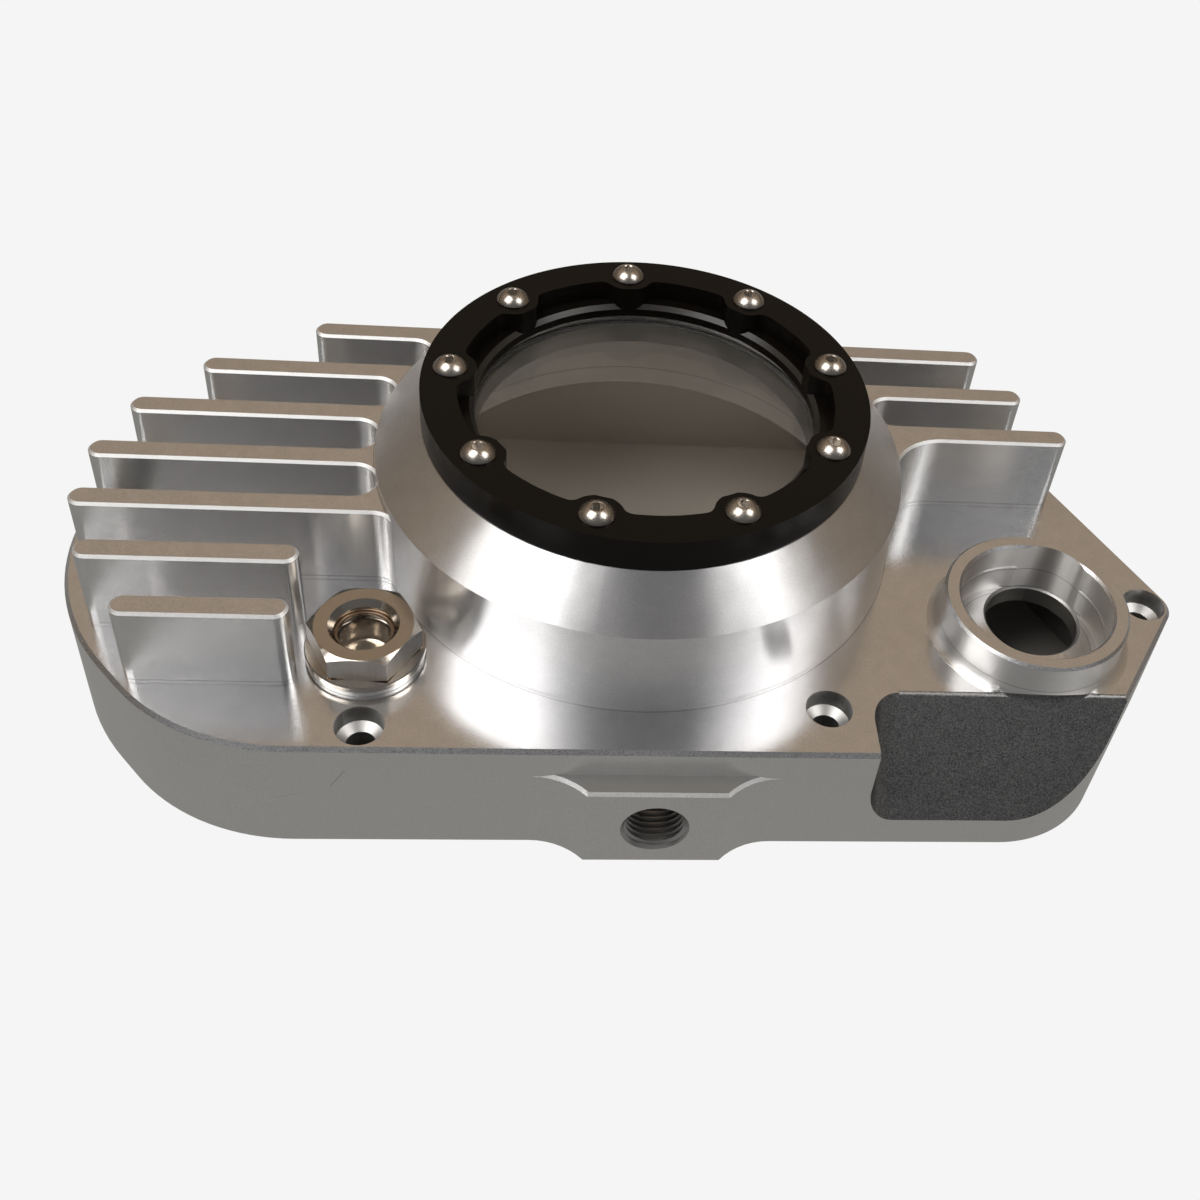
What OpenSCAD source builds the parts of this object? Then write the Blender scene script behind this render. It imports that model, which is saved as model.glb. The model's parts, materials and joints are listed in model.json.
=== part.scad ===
// Clutch cover: a billet-machined hollow cover with cooling fins, a round clutch window held by
// a screwed ring, an oil sight fitting, a shaft boss and a threaded port.
// Units are millimetres. Z = 0 is the gasket plane and the Z axis is the clutch axis.

/* [Plan outline] */
// Centre of the left end's big arc
left_end_pos = [-70.5, -13]; // [-150:0.1:150]
// Radius of the left end's big arc
left_end_r = 56.8; // [30:0.1:90]
// Distance of the straight front wall from the clutch axis
front_wall = 71.7; // [60:0.1:90]
// X of the front left corner's arc centre
front_left_x = -73.4; // [-120:0.1:0]
// Radius of the front left corner
front_left_r = 46.9; // [20:0.1:60]
// X of the front right corner's arc centre
front_right_x = 82; // [40:0.1:120]
// Radius of the front right corner
front_right_r = 28; // [10:0.1:50]
// Distance of the straight back wall from the clutch axis
back_wall = 67; // [64:0.1:80]
// Width of the bevel round the deck's edge
deck_bevel = 0.9; // [0.2:0.1:3]

/* [Heights] */
// Height of the flat deck above the gasket plane
deck_z = 30.6; // [15:0.1:60]
// Height of the fins' tops
fin_top_z = 50.8; // [35:0.1:80]
// Height of the cone's lower edge
cone_foot_z = 52.9; // [40:0.1:80]
// Height of the flat seat under the window ring
seat_z = 62.3; // [50:0.1:90]

/* [Drum and cavity] */
// Outer radius of the clutch drum
drum_r = 60.3; // [50:0.1:80]
// Inner radius of the clutch cavity
cavity_r = 54.9; // [46:0.1:57]
// Height where the cavity starts to narrow
cavity_top_z = 44; // [30:0.1:60]
// Radius of the cavity at its roof
roof_r = 46; // [38:0.1:60]
// Height of the cavity's roof
roof_z = 51.5; // [40:0.1:60]
// Thickness of the outer walls at the gasket face
wall = 6; // [3:0.1:12]
// Height of the side pockets' ceiling
ceiling_z = 26.4; // [23:0.1:28]
// Height of the thicker pads under the boss and the sight fitting
pad_z = 22.4; // [12:0.1:23]
// Radius of the pad under the sight fitting
sight_pad_r = 12; // [9:0.1:16]
// Radius of the bolt pillars inside
pillar_r = 8; // [5:0.1:14]

/* [Cover bolts] */
// Distance of a corner bolt from the outer wall
bolt_edge = 6.4; // [5:0.1:12]
// Radius of the bolt holes
bolt_hole_r = 3.1; // [2:0.05:6]
// Radius of the counterbores for the bolt heads
bolt_head_r = 5.15; // [4:0.05:9]
// Depth of the counterbores
bolt_head_depth = 4.6; // [2:0.1:12]
// Depth of the drill point under a counterbore
bolt_point = 1.2; // [0:0.1:3]
// Bolt at the right hand corner
bolt_right = [120.3, -25.1]; // [-150:0.1:150]
// X of the bolt at the back right corner
bolt_back_right_x = 77.5; // [60:0.1:100]
// X of the bolt at the back left corner
bolt_back_left_x = -47.6; // [-70:0.1:-30]
// Bolt in front of the drum
bolt_front = [39.9, -58.9]; // [-150:0.1:150]
// X of the front left bolt
bolt_front_left_x = -58.8; // [-100:0.1:0]
// X of the bolt between two fins at the left end
bolt_left_x = -116.5; // [-125:0.1:-90]
// Gap between that bolt's counterbore and the fins beside it
bolt_left_gap = 0.15; // [0.05:0.05:1]
// Radius of the two dowel sockets in the gasket face
dowel_r = 5; // [3:0.1:8]
// Depth of the dowel sockets
dowel_depth = 7; // [3:0.5:15]

/* [Fins] */
// Distance between fin centres
fin_pitch = 15.8; // [8:0.1:30]
// Thickness of a fin
fin_t = 5.7; // [3:0.1:10]
// Y of the front fin's centre
fin_first_y = -51.6; // [-70:0.1:0]
// Bevel along a fin's top edges
fin_bevel = 0.6; // [0.1:0.1:2]
// Left tips of the fins, front to back
fin_left_tips = [-107.8, -118.2, -122.7, -122, -116.2, -102.8, -78.7]; // [-126:0.1:-76]
// Right tips of the three right hand fins, front to back
fin_right_tips = [104.6, 96.6, 88.6]; // [76:0.1:110]
// Free room between the short fins and the fitting's collar
fin_short_clear = 0.9; // [0.2:0.1:10]
// Corner radius where the third fin meets the drum
fin_root_r = 5; // [2:0.1:20]
// Corner radius where the front right fin meets the drum
fin_big_root_r = 13; // [5:0.1:20]

/* [Shaft boss] */
// Centre of the shaft boss
boss_pos = [89.5, -34.3]; // [-150:0.1:150]
// Outer radius of the boss
boss_r = 21.2; // [15:0.1:40]
// Height of the boss's top face
boss_z = 40.7; // [31:0.1:60]
// Fillet at the boss's foot
boss_foot_r = 2.7; // [0.5:0.1:6]
// Radius of the seal bore in the boss
seal_r = 17.3; // [10:0.05:30]
// Extra radius of the seal bore's upper half
seal_step = 0.15; // [0:0.05:1]
// Height of the step in the seal bore
seal_step_z = 33.8; // [28:0.1:45]
// Height of the seal bore's floor
seal_floor_z = 27.2; // [20:0.1:40]
// Centre of the shaft hole in that floor
shaft_pos = [93.1, -27.5]; // [-150:0.1:150]
// Radius of the shaft hole
shaft_r = 10.95; // [5:0.05:20]
// Edge break on the boss and its bores
boss_bevel = 0.6; // [0.1:0.1:2]

/* [Oil port] */
// X of the port's axis
port_x = 2.95; // [-30:0.05:30]
// Height of the port's axis
port_z = 11.35; // [5:0.05:25]
// Core radius of the M14 thread, which is left plain here
port_r = 6.2; // [3:0.05:12]
// Radius of the port's lead-in cone
port_mouth_r = 7.4; // [4:0.05:14]
// Distance of the port's flat face from the clutch axis
lug_face = 76.75; // [70:0.05:90]
// Half width of the port's flat face
lug_half = 14.9; // [8:0.1:30]
// Height of the lug's top
lug_z = 23.2; // [10:0.1:30]
// Radius of the hollow sides that run out into the wall
lug_side_r = 16; // [5:0.1:40]
// Edge break on the lug's top
lug_bevel = 0.7; // [0.1:0.1:2]

/* [Sloping cut] */
// X of the cut's left wall
cut_x = 49.5; // [20:0.1:90]
// Distance of the cut's top edge from the clutch axis
cut_top = 54; // [40:0.1:70]
// Height where the cut leaves the front wall
cut_low_z = 8.2; // [2:0.1:25]
// Radius of the cutter, left in the corner
cut_r = 6.5; // [2:0.1:15]
// Edge break between the deck and the cut
cut_break = 0.6; // [0.1:0.1:2]
// Metal that the sloping cut leaves round the boss
cut_clear = 0.6; // [0.2:0.1:2]

/* [Window] */
// How far the ring's seat stands out past the ring
seat_edge = 0.2; // [0.1:0.1:2]
// Thickness of the window ring
ring_t = 7.7; // [4:0.1:12]
// Outer radius of the window ring
ring_r = 50; // [40:0.1:70]
// Radius of the window between the lobes
ring_pocket_r = 42; // [30:0.1:60]
// Height of the ring's lower lip
ring_lip_t = 2.9; // [1:0.1:6]
// Bevel inside the lower lip
ring_lip_bevel = 1; // [0.2:0.1:2]
// Edge break round the ring's top
ring_bevel = 0.4; // [0.1:0.1:1.5]
// Radius of the lobe round each screw
lobe_r = 5.9; // [4:0.1:10]
// Number of ring screws
screw_count = 9; // [3:1:16]
// Radius of the screw circle
screw_circle_r = 43.9; // [38:0.05:60]
// Angle of the first screw
screw_phase = 94.2; // [0:0.1:360]
// Thickness of the clear disc
disc_t = 6; // [2:0.1:10]
// Free room between the disc's edge and the screws
disc_clear = 0.7; // [0.2:0.1:3]
// How far the ring's lip and the seat reach in under and over the disc's edge
disc_overlap = 2.9; // [1:0.1:6]
// Gap round the clear disc
disc_gap = 0.15; // [0.05:0.05:0.5]
// How far the seal's circle lies inside the disc's edge
oring_inset = 1.35; // [1:0.05:3]
// Radius of the seal's section
oring_r = 0.8; // [0.5:0.05:0.9]

/* [Ring screws] */
// Radius of the M4 shank
screw_r = 2; // [1:0.05:4]
// Radius of the button head
head_r = 3.8; // [2:0.05:6]
// Height of the button head
head_h = 2.2; // [1:0.05:4]
// Height of the head's straight edge
head_edge = 0.35; // [0.1:0.05:1]
// How much is cut flat off the dome's top
head_flat = 0.3; // [0.05:0.05:1]
// Length of the shank
screw_length = 16; // [6:0.5:30]
// Key size across the flats
key_af = 2.5; // [1.5:0.1:5]
// Depth of the key socket
key_depth = 1.3; // [0.5:0.1:3]
// How far a tapped hole runs on below its screw
thread_over = 1.7; // [0.5:0.1:4]
// Clearance of a shank in the ring
screw_gap = 0.2; // [0.05:0.05:0.5]
// Clearance of a plain shank in a plain tapped hole
thread_gap = 0.05; // [0.02:0.01:0.2]

/* [Oil sight fitting] */
// Direction from the clutch axis to the sight fitting, in degrees
sight_angle = 217.32; // [180:0.01:260]
// Free room between the fitting's collar and the drum
sight_clear = 1.56; // [0.3:0.01:10]
// Turn of its hexagon
sight_turn = -3; // [-30:0.5:30]
// Hexagon across the flats
sight_af = 21; // [12:0.1:40]
// Height of the fitting above the deck
sight_h = 9; // [4:0.1:20]
// Height of the bevel on the hexagon's corners
sight_bevel = 1.5; // [0.3:0.1:3]
// How far that bevel reaches inside the flats
sight_bevel_in = 0.4; // [0.1:0.1:2]
// Radius of the sealing washer
washer_r = 12.4; // [8:0.1:20]
// Thickness of the sealing washer
washer_t = 1.3; // [0.5:0.1:3]
// Radius of the collar under the hexagon
collar_r = 12.7; // [8:0.1:20]
// Thickness of that collar
collar_t = 1.6; // [0.5:0.1:4]
// Radius of the M16 shank
sight_shank_r = 8; // [5:0.05:12]
// Length of the shank below the washer
sight_shank = 11; // [5:0.5:20]
// Radius of the bore above the lens
sight_bore_r = 6.3; // [3:0.05:10]
// Radius of the bore's mouth
sight_mouth_r = 7.45; // [4:0.05:11]
// Radius of the bore under the lens
sight_throat_r = 5.4; // [3:0.05:9]
// Radius of the lowest opening
sight_hole_r = 4.2; // [2:0.05:8]
// Depth of the lens below the fitting's top
lens_drop = 3.2; // [1:0.1:8]
// Thickness of the lens
lens_t = 2.6; // [1:0.1:5]
// Height of the lens's retaining ring
retainer_h = 0.8; // [0.3:0.1:3]
// Inner radius of the retaining ring
retainer_r = 5.55; // [3:0.05:9]
// Depth of the reflector below the fitting's top
reflector_drop = 11.6; // [5:0.1:20]
// Thickness of the reflector
reflector_t = 0.8; // [0.3:0.1:2]
// Radius of the reflector's three holes
reflector_hole_r = 1.5; // [0.5:0.05:3]
// Slip fit of the parts inside the fitting
sight_gap = 0.03; // [0.01:0.01:0.2]

/* [Hidden] */
$fn = 96;
eps = 0.02;
arc_step = 3;
ring_top_z = seat_z + ring_t;
disc_z = seat_z - disc_t;
disc_r = screw_circle_r - screw_r - disc_clear;
window_r = disc_r - disc_overlap;
ring_lip_r = disc_r - disc_overlap;
oring_circle_r = disc_r - oring_inset;
cone_top_r = ring_r + seat_edge;
slot_r = (fin_pitch - fin_t) / 2;
sight_reach = drum_r + sight_clear + collar_r;
sight_pos = [sight_reach * cos(sight_angle), sight_reach * sin(sight_angle)];
fin_short_end = sight_pos[0] - collar_r - fin_short_clear;
bolt_front_left = [bolt_front_left_x, -front_wall + bolt_edge];
bolt_left = [bolt_left_x, fin_first_y + 2.5 * fin_pitch];
bolt_back_right = [bolt_back_right_x, back_wall - bolt_edge];
bolt_back_left = [bolt_back_left_x, back_wall - bolt_edge];
bolts = [bolt_front_left, bolt_front, bolt_right, bolt_back_right, bolt_back_left, bolt_left];
dowels = [bolt_front_left, bolt_back_right];
cut_tilt = atan2(deck_z - cut_low_z, front_wall - cut_top);
cut_run = (deck_z - cut_low_z) / sin(cut_tilt);
cut_length = bolt_right[0] - cut_x;
washer_z = deck_z;
collar_z = washer_z + washer_t;
sight_top_z = deck_z + sight_h;
shank_z = collar_z - sight_shank;
lens_z = sight_top_z - lens_drop - lens_t;
reflector_z = sight_top_z - reflector_drop - reflector_t;
rim = [
    [front_right_x, front_right_r - front_wall, front_right_r],
    [bolt_right[0], bolt_right[1], bolt_edge],
    [bolt_back_right[0], bolt_back_right[1], bolt_edge],
    [bolt_back_left[0], bolt_back_left[1], bolt_edge],
    [left_end_pos[0], left_end_pos[1], left_end_r],
    [front_left_x, front_left_r - front_wall, front_left_r]
];

function fin_y(i) = fin_first_y + i * fin_pitch;

// Direction of the outward normal on the line that touches circles a and b
function touch(a, b) =
    let (d = [b[0] - a[0], b[1] - a[1]])
    atan2(d[1], d[0]) - acos((a[2] - b[2]) / norm(d));

// Points of the band round the rim circles, all radii grown by g
function band(g) = [
    for (i = [0 : len(rim) - 1])
        let (c = rim[i], prev = rim[(i + len(rim) - 1) % len(rim)], next = rim[(i + 1) % len(rim)],
             from = touch(prev, c), sweep = (touch(c, next) - from + 720) % 360,
             n = ceil(sweep / arc_step))
        for (k = [0 : n])
            let (a = from + k * sweep / n)
            [c[0] + (c[2] + g) * cos(a), c[1] + (c[2] + g) * sin(a)]
];

// Flat plate whose upper edge is bevelled all round
module plate() {
    low = band(0);
    high = band(-deck_bevel);
    n = len(low);
    levels = [[low, 0], [low, deck_z - deck_bevel], [high, deck_z]];
    points = [for (l = levels) for (p = l[0]) [p[0], p[1], l[1]]];
    sides = [for (l = [0, 1]) for (i = [0 : n - 1])
        [l * n + (i + 1) % n, l * n + i, (l + 1) * n + i, (l + 1) * n + (i + 1) % n]];
    polyhedron(points, concat([[for (i = [0 : n - 1]) i]],
                              [[for (i = [n - 1 : -1 : 0]) 2 * n + i]], sides));
}

module drum() {
    rotate_extrude() polygon([[0, deck_z - 4], [drum_r, deck_z - 4], [drum_r, cone_foot_z],
                              [cone_top_r, seat_z], [0, seat_z]]);
}

module fin_bar(y, x0, x1) {
    h = fin_t / 2;
    translate([x0, y, 0]) rotate([90, 0, 90]) linear_extrude(x1 - x0)
        polygon([[-h, deck_z - 1], [h, deck_z - 1], [h, fin_top_z - fin_bevel],
                 [h - fin_bevel, fin_top_z], [fin_bevel - h, fin_top_z],
                 [-h, fin_top_z - fin_bevel]]);
}

module fin_end(x, y) {
    h = fin_t / 2;
    translate([x, y, deck_z - 1]) cylinder(r = h, h = fin_top_z - fin_bevel - deck_z + 1);
    translate([x, y, fin_top_z - fin_bevel]) cylinder(r1 = h, r2 = h - fin_bevel, h = fin_bevel);
}

module free_fin(i) {
    left = fin_left_tips[i] + fin_t / 2;
    right = fin_short_end - fin_t / 2;
    fin_bar(fin_y(i), left, right);
    fin_end(left, fin_y(i));
    fin_end(right, fin_y(i));
}

// A fin from its tip to the middle of the drum's wall
module drum_fin(i, tip) {
    side = sign(tip);
    outer = tip - side * fin_t / 2;
    inner = side * sqrt(pow((drum_r + cavity_r) / 2, 2) - pow(fin_y(i), 2));
    fin_bar(fin_y(i), min(outer, inner), max(outer, inner));
    fin_end(outer, fin_y(i));
}

module root_cutter(pos, r) {
    translate([pos[0], pos[1], deck_z]) cylinder(r = r, h = fin_top_z);
    translate([pos[0], pos[1], fin_top_z - fin_bevel])
        cylinder(r1 = r, r2 = r + fin_bevel + 1, h = fin_bevel + 1);
}

// Round end of the slot between fins i and i + 1
module slot_end(i, side) {
    y = fin_y(i) + fin_pitch / 2;
    x = sqrt(pow(drum_r + slot_r - eps, 2) - y * y);
    deep = sqrt(pow((drum_r + cavity_r) / 2, 2) - pow(abs(y) + fin_pitch / 2, 2));
    difference() {
        translate([side > 0 ? deep : -x, y - fin_pitch / 2, deck_z - 1])
            cube([x - deep, fin_pitch, fin_top_z - deck_z + 1]);
        root_cutter([side * x, y], slot_r);
    }
}

// Hollow corner between a fin's face and the drum; way is -1 in front of the fin, 1 behind it
module fin_root(i, side, way, r) {
    face = fin_y(i) + way * fin_t / 2;
    cy = face + way * r;
    cx = side * sqrt(pow(drum_r + r - eps, 2) - cy * cy);
    m = (drum_r - 4) / (drum_r + r);
    difference() {
        translate([0, 0, deck_z - 1]) linear_extrude(fin_top_z - deck_z + 1)
            polygon([[cx, fin_y(i)], [cx, cy], [m * cx, m * cy], [m * cx, fin_y(i)]]);
        root_cutter([cx, cy], r);
    }
}

module fins() {
    for (i = [0 : 1]) free_fin(i);
    for (i = [2 : 6]) drum_fin(i, fin_left_tips[i]);
    for (i = [4 : 6]) drum_fin(i, fin_right_tips[i - 4]);
    for (i = [2 : 5]) slot_end(i, -1);
    for (i = [4 : 5]) slot_end(i, 1);
    fin_root(2, -1, -1, fin_root_r);
    fin_root(4, 1, -1, fin_big_root_r);
    fin_root(6, -1, 1, fin_root_r);
    fin_root(6, 1, 1, fin_root_r);
}

module boss() {
    translate([boss_pos[0], boss_pos[1], 0]) rotate_extrude() difference() {
        polygon([[0, deck_z - 2], [boss_r + boss_foot_r, deck_z - 2],
                 [boss_r + boss_foot_r, deck_z], [boss_r, deck_z + boss_foot_r],
                 [boss_r, boss_z - boss_bevel], [boss_r - boss_bevel, boss_z], [0, boss_z]]);
        translate([boss_r + boss_foot_r, deck_z + boss_foot_r]) circle(boss_foot_r);
    }
}

module lug() {
    a = acos(1 - (lug_face - front_wall) / lug_side_r);
    reach = lug_half + lug_side_r * sin(a);
    inside = front_wall - wall / 2;
    translate([port_x, 0, 0]) difference() {
        linear_extrude(lug_z) difference() {
            polygon([[-reach, -inside], [-reach, -front_wall], [-lug_half, -lug_face],
                     [lug_half, -lug_face], [reach, -front_wall], [reach, -inside]]);
            for (s = [-1, 1]) translate([s * reach, -front_wall - lug_side_r])
                circle(lug_side_r);
        }
        for (s = [-1, 1]) translate([s * reach, -front_wall - lug_side_r, lug_z - lug_bevel])
            cylinder(r1 = lug_side_r, r2 = lug_side_r + lug_bevel + 1, h = lug_bevel + 1);
        translate([0, -lug_face, lug_z]) rotate([45, 0, 0])
            cube([2 * reach, lug_bevel * sqrt(2), lug_bevel * sqrt(2)], center = true);
    }
}

module drum_cavity() {
    rotate_extrude() polygon([[0, -1], [cavity_r, -1], [cavity_r, cavity_top_z],
                              [roof_r, roof_z], [0, roof_z]]);
}

// Milled hollow under the deck: inside the walls, round the pillars, behind the sloping cut
module pocket() {
    difference() {
        translate([0, 0, -1]) linear_extrude(ceiling_z + 1) difference() {
            polygon(band(-wall));
            for (b = bolts) translate(b) circle(pillar_r);
            translate([cut_x - 2 * wall, -front_wall])
                square([cut_length, front_wall - cut_top + 2]);
        }
        translate([boss_pos[0], boss_pos[1], pad_z]) cylinder(r = boss_r, h = wall);
        translate([sight_pos[0], sight_pos[1], pad_z]) cylinder(r = sight_pad_r, h = wall);
    }
}

module window_opening() {
    translate([0, 0, roof_z - 1]) cylinder(r = window_r, h = seat_z);
    translate([0, 0, disc_z]) cylinder(r = disc_r + disc_gap, h = seat_z);
    translate([0, 0, disc_z - 2 * oring_r]) difference() {
        cylinder(r = oring_circle_r + oring_r, h = 2 * oring_r + eps);
        translate([0, 0, -1]) cylinder(r = oring_circle_r - oring_r, h = 4 * oring_r);
    }
}

module at_screws() {
    for (k = [0 : screw_count - 1]) rotate(screw_phase - k * 360 / screw_count)
        translate([screw_circle_r, 0, 0]) children();
}

module bolt_hole(b, head) {
    translate([b[0], b[1], -1]) cylinder(r = bolt_hole_r, h = deck_z + 2);
    translate([b[0], b[1], deck_z - bolt_head_depth]) cylinder(r = head, h = deck_z);
    translate([b[0], b[1], deck_z - bolt_head_depth - bolt_point])
        cylinder(r1 = bolt_hole_r, r2 = head, h = bolt_point);
}

module bolt_holes() {
    for (b = bolts) bolt_hole(b, b == bolt_left ? slot_r - bolt_left_gap : bolt_head_r);
    for (b = dowels) translate([b[0], b[1], -1]) cylinder(r = dowel_r, h = dowel_depth + 1);
}

module boss_bores() {
    translate([boss_pos[0], boss_pos[1], 0]) {
        translate([0, 0, seal_floor_z]) cylinder(r = seal_r, h = boss_z);
        translate([0, 0, seal_step_z]) cylinder(r = seal_r + seal_step, h = boss_z);
        translate([0, 0, boss_z - boss_bevel])
            cylinder(r1 = seal_r + seal_step, r2 = seal_r + seal_step + boss_bevel + 1,
                     h = boss_bevel + 1);
    }
    translate([shaft_pos[0], shaft_pos[1], 0]) {
        translate([0, 0, pad_z - 1]) cylinder(r = shaft_r, h = deck_z);
        translate([0, 0, seal_floor_z - boss_bevel])
            cylinder(r1 = shaft_r, r2 = shaft_r + boss_bevel + 0.5, h = boss_bevel + 0.5);
    }
}

module port_hole() {
    translate([port_x, -lug_face, port_z]) rotate([-90, 0, 0]) {
        translate([0, 0, -1]) cylinder(r = port_r, h = lug_face - front_wall + wall + 2);
        translate([0, 0, -1]) cylinder(r1 = port_mouth_r + 1, r2 = port_r,
                                       h = port_mouth_r - port_r + 1);
    }
}

// Tilted cutter path of the sloping cut, with an edge break along its top; both go round the boss
module sloping_cut() {
    reach = 2 * cut_run;
    difference() {
        union() {
            translate([cut_x, -cut_top, deck_z]) rotate([cut_tilt - 90, 0, 0]) mirror([0, 1, 0])
                translate([0, 0, -reach]) linear_extrude(2 * reach) {
                    translate([cut_r, 0]) square([cut_length, reach]);
                    translate([0, cut_r]) square([cut_length, reach - cut_r]);
                    translate([cut_r, cut_r]) circle(cut_r);
                }
            translate([cut_x + cut_r, cut_break - cut_top, deck_z]) rotate([cut_tilt / 2, 0, 0])
                translate([0, -cut_r, 0]) cube([cut_length - cut_r, cut_r, cut_r]);
        }
        translate([boss_pos[0], boss_pos[1], cut_low_z]) cylinder(r = boss_r + cut_clear, h = boss_z);
    }
}

module cover_body() {
    color([0.75, 0.75, 0.76]) difference() {
        union() {
            plate();
            drum();
            fins();
            boss();
            lug();
        }
        drum_cavity();
        pocket();
        window_opening();
        translate([0, 0, ring_top_z - screw_length - thread_over]) at_screws()
            cylinder(r = screw_r + thread_gap, h = screw_length);
        bolt_holes();
        boss_bores();
        port_hole();
        translate([sight_pos[0], sight_pos[1], pad_z - 1])
            cylinder(r = sight_shank_r + thread_gap, h = deck_z);
        sloping_cut();
    }
}

// Clamp ring: a lip that holds the disc's edge down, and a lobe round each screw that reaches in over it
module window_ring() {
    color([0.03, 0.03, 0.03]) translate([0, 0, seat_z]) difference() {
        union() {
            rotate_extrude() polygon([[ring_lip_r + ring_lip_bevel - ring_lip_t, 0], [ring_r, 0],
                                      [ring_r, ring_t - ring_bevel], [ring_r - ring_bevel, ring_t],
                                      [ring_pocket_r + ring_bevel, ring_t],
                                      [ring_pocket_r, ring_t - ring_bevel],
                                      [ring_pocket_r, ring_lip_t],
                                      [ring_lip_r + ring_lip_bevel, ring_lip_t]]);
            at_screws() translate([0, 0, ring_lip_t / 2])
                cylinder(r = lobe_r, h = ring_t - ring_lip_t / 2);
        }
        translate([0, 0, -1]) cylinder(r = ring_lip_r, h = ring_t + 2);
        at_screws() cylinder(r = screw_r + screw_gap, h = 3 * ring_t, center = true);
    }
}

module window_disc() {
    color([0.75, 0.78, 0.8, 0.35]) translate([0, 0, disc_z]) cylinder(r = disc_r, h = disc_t);
}

module window_seal() {
    color([0.05, 0.05, 0.05]) translate([0, 0, disc_z - oring_r]) rotate_extrude()
        translate([oring_circle_r, 0]) circle(oring_r);
}

// Button head: a straight edge, then a dome that is cut flat on top
module button_screw() {
    dome_h = head_h + head_flat - head_edge;
    dome_r = (head_r * head_r + dome_h * dome_h) / (2 * dome_h);
    difference() {
        union() {
            translate([0, 0, -screw_length]) cylinder(r = screw_r, h = screw_length + eps);
            intersection() {
                cylinder(r = head_r, h = head_h);
                translate([0, 0, head_edge + dome_h - dome_r]) sphere(dome_r + eps);
            }
        }
        translate([0, 0, head_h - key_depth])
            cylinder(r = key_af / sqrt(3), h = key_depth + 1, $fn = 6);
    }
}

module ring_screws() {
    color([0.8, 0.8, 0.8]) translate([0, 0, ring_top_z]) at_screws() button_screw();
}

module at_sight() {
    translate([sight_pos[0], sight_pos[1], 0]) children();
}

module sight_washer() {
    color([0.8, 0.78, 0.74]) at_sight() translate([0, 0, washer_z]) difference() {
        cylinder(r = washer_r, h = washer_t);
        translate([0, 0, -1]) cylinder(r = sight_shank_r + thread_gap, h = washer_t + 2);
    }
}

module sight_body() {
    hex_z = collar_z + collar_t;
    corner = sight_af / sqrt(3);
    color([0.7, 0.68, 0.65]) at_sight() difference() {
        union() {
            translate([0, 0, shank_z]) cylinder(r = sight_shank_r, h = sight_shank);
            translate([0, 0, collar_z]) cylinder(r = collar_r, h = collar_t);
            intersection() {
                translate([0, 0, hex_z - eps]) rotate(sight_turn)
                    cylinder(r = corner, h = sight_top_z - hex_z + eps, $fn = 6);
                rotate_extrude() polygon([[0, hex_z - 1], [corner + 1, hex_z - 1],
                                          [corner + 1, sight_top_z - sight_bevel],
                                          [sight_af / 2 - sight_bevel_in, sight_top_z],
                                          [0, sight_top_z]]);
            }
        }
        translate([0, 0, shank_z - 1]) cylinder(r = sight_hole_r, h = sight_top_z);
        translate([0, 0, reflector_z]) cylinder(r = sight_throat_r, h = sight_top_z);
        translate([0, 0, lens_z]) cylinder(r = sight_bore_r, h = sight_top_z);
        translate([0, 0, sight_top_z - sight_mouth_r + sight_bore_r])
            cylinder(r1 = sight_bore_r, r2 = sight_mouth_r + 1,
                     h = sight_mouth_r - sight_bore_r + 1);
    }
}

module sight_lens() {
    color([0.85, 0.87, 0.85, 0.4]) at_sight() translate([0, 0, lens_z])
        cylinder(r = sight_bore_r - sight_gap, h = lens_t);
}

module sight_retainer() {
    color([0.65, 0.64, 0.62]) at_sight() translate([0, 0, lens_z + lens_t]) difference() {
        cylinder(r = sight_bore_r - sight_gap, h = retainer_h);
        translate([0, 0, -1]) cylinder(r = retainer_r, h = retainer_h + 2);
    }
}

module sight_reflector() {
    color([0.75, 0.74, 0.7]) at_sight() translate([0, 0, reflector_z]) difference() {
        cylinder(r = sight_throat_r - sight_gap, h = reflector_t);
        for (a = [30, 150, 270]) rotate(a) translate([sight_throat_r / 2, 0, -1])
            cylinder(r = reflector_hole_r, h = reflector_t + 2);
    }
}

cover_body();
window_ring();
window_disc();
window_seal();
ring_screws();
sight_washer();
sight_body();
sight_lens();
sight_retainer();
sight_reflector();
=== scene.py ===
"""Looks of a billet clutch cover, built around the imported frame.

The shell, the window ring with its screws and the oil sight fitting are modelled and finished here.
The frame's Z axis is the clutch axis and Z = 0 is the gasket plane. Sizes and places of pieces are in
millimetres and become metres where a mesh is made. Finishes, lights and the camera are in metres.
"""

import json
import logging
import math
from dataclasses import dataclass, field
from enum import Enum

import bpy
from mathutils import Matrix, Vector

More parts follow.
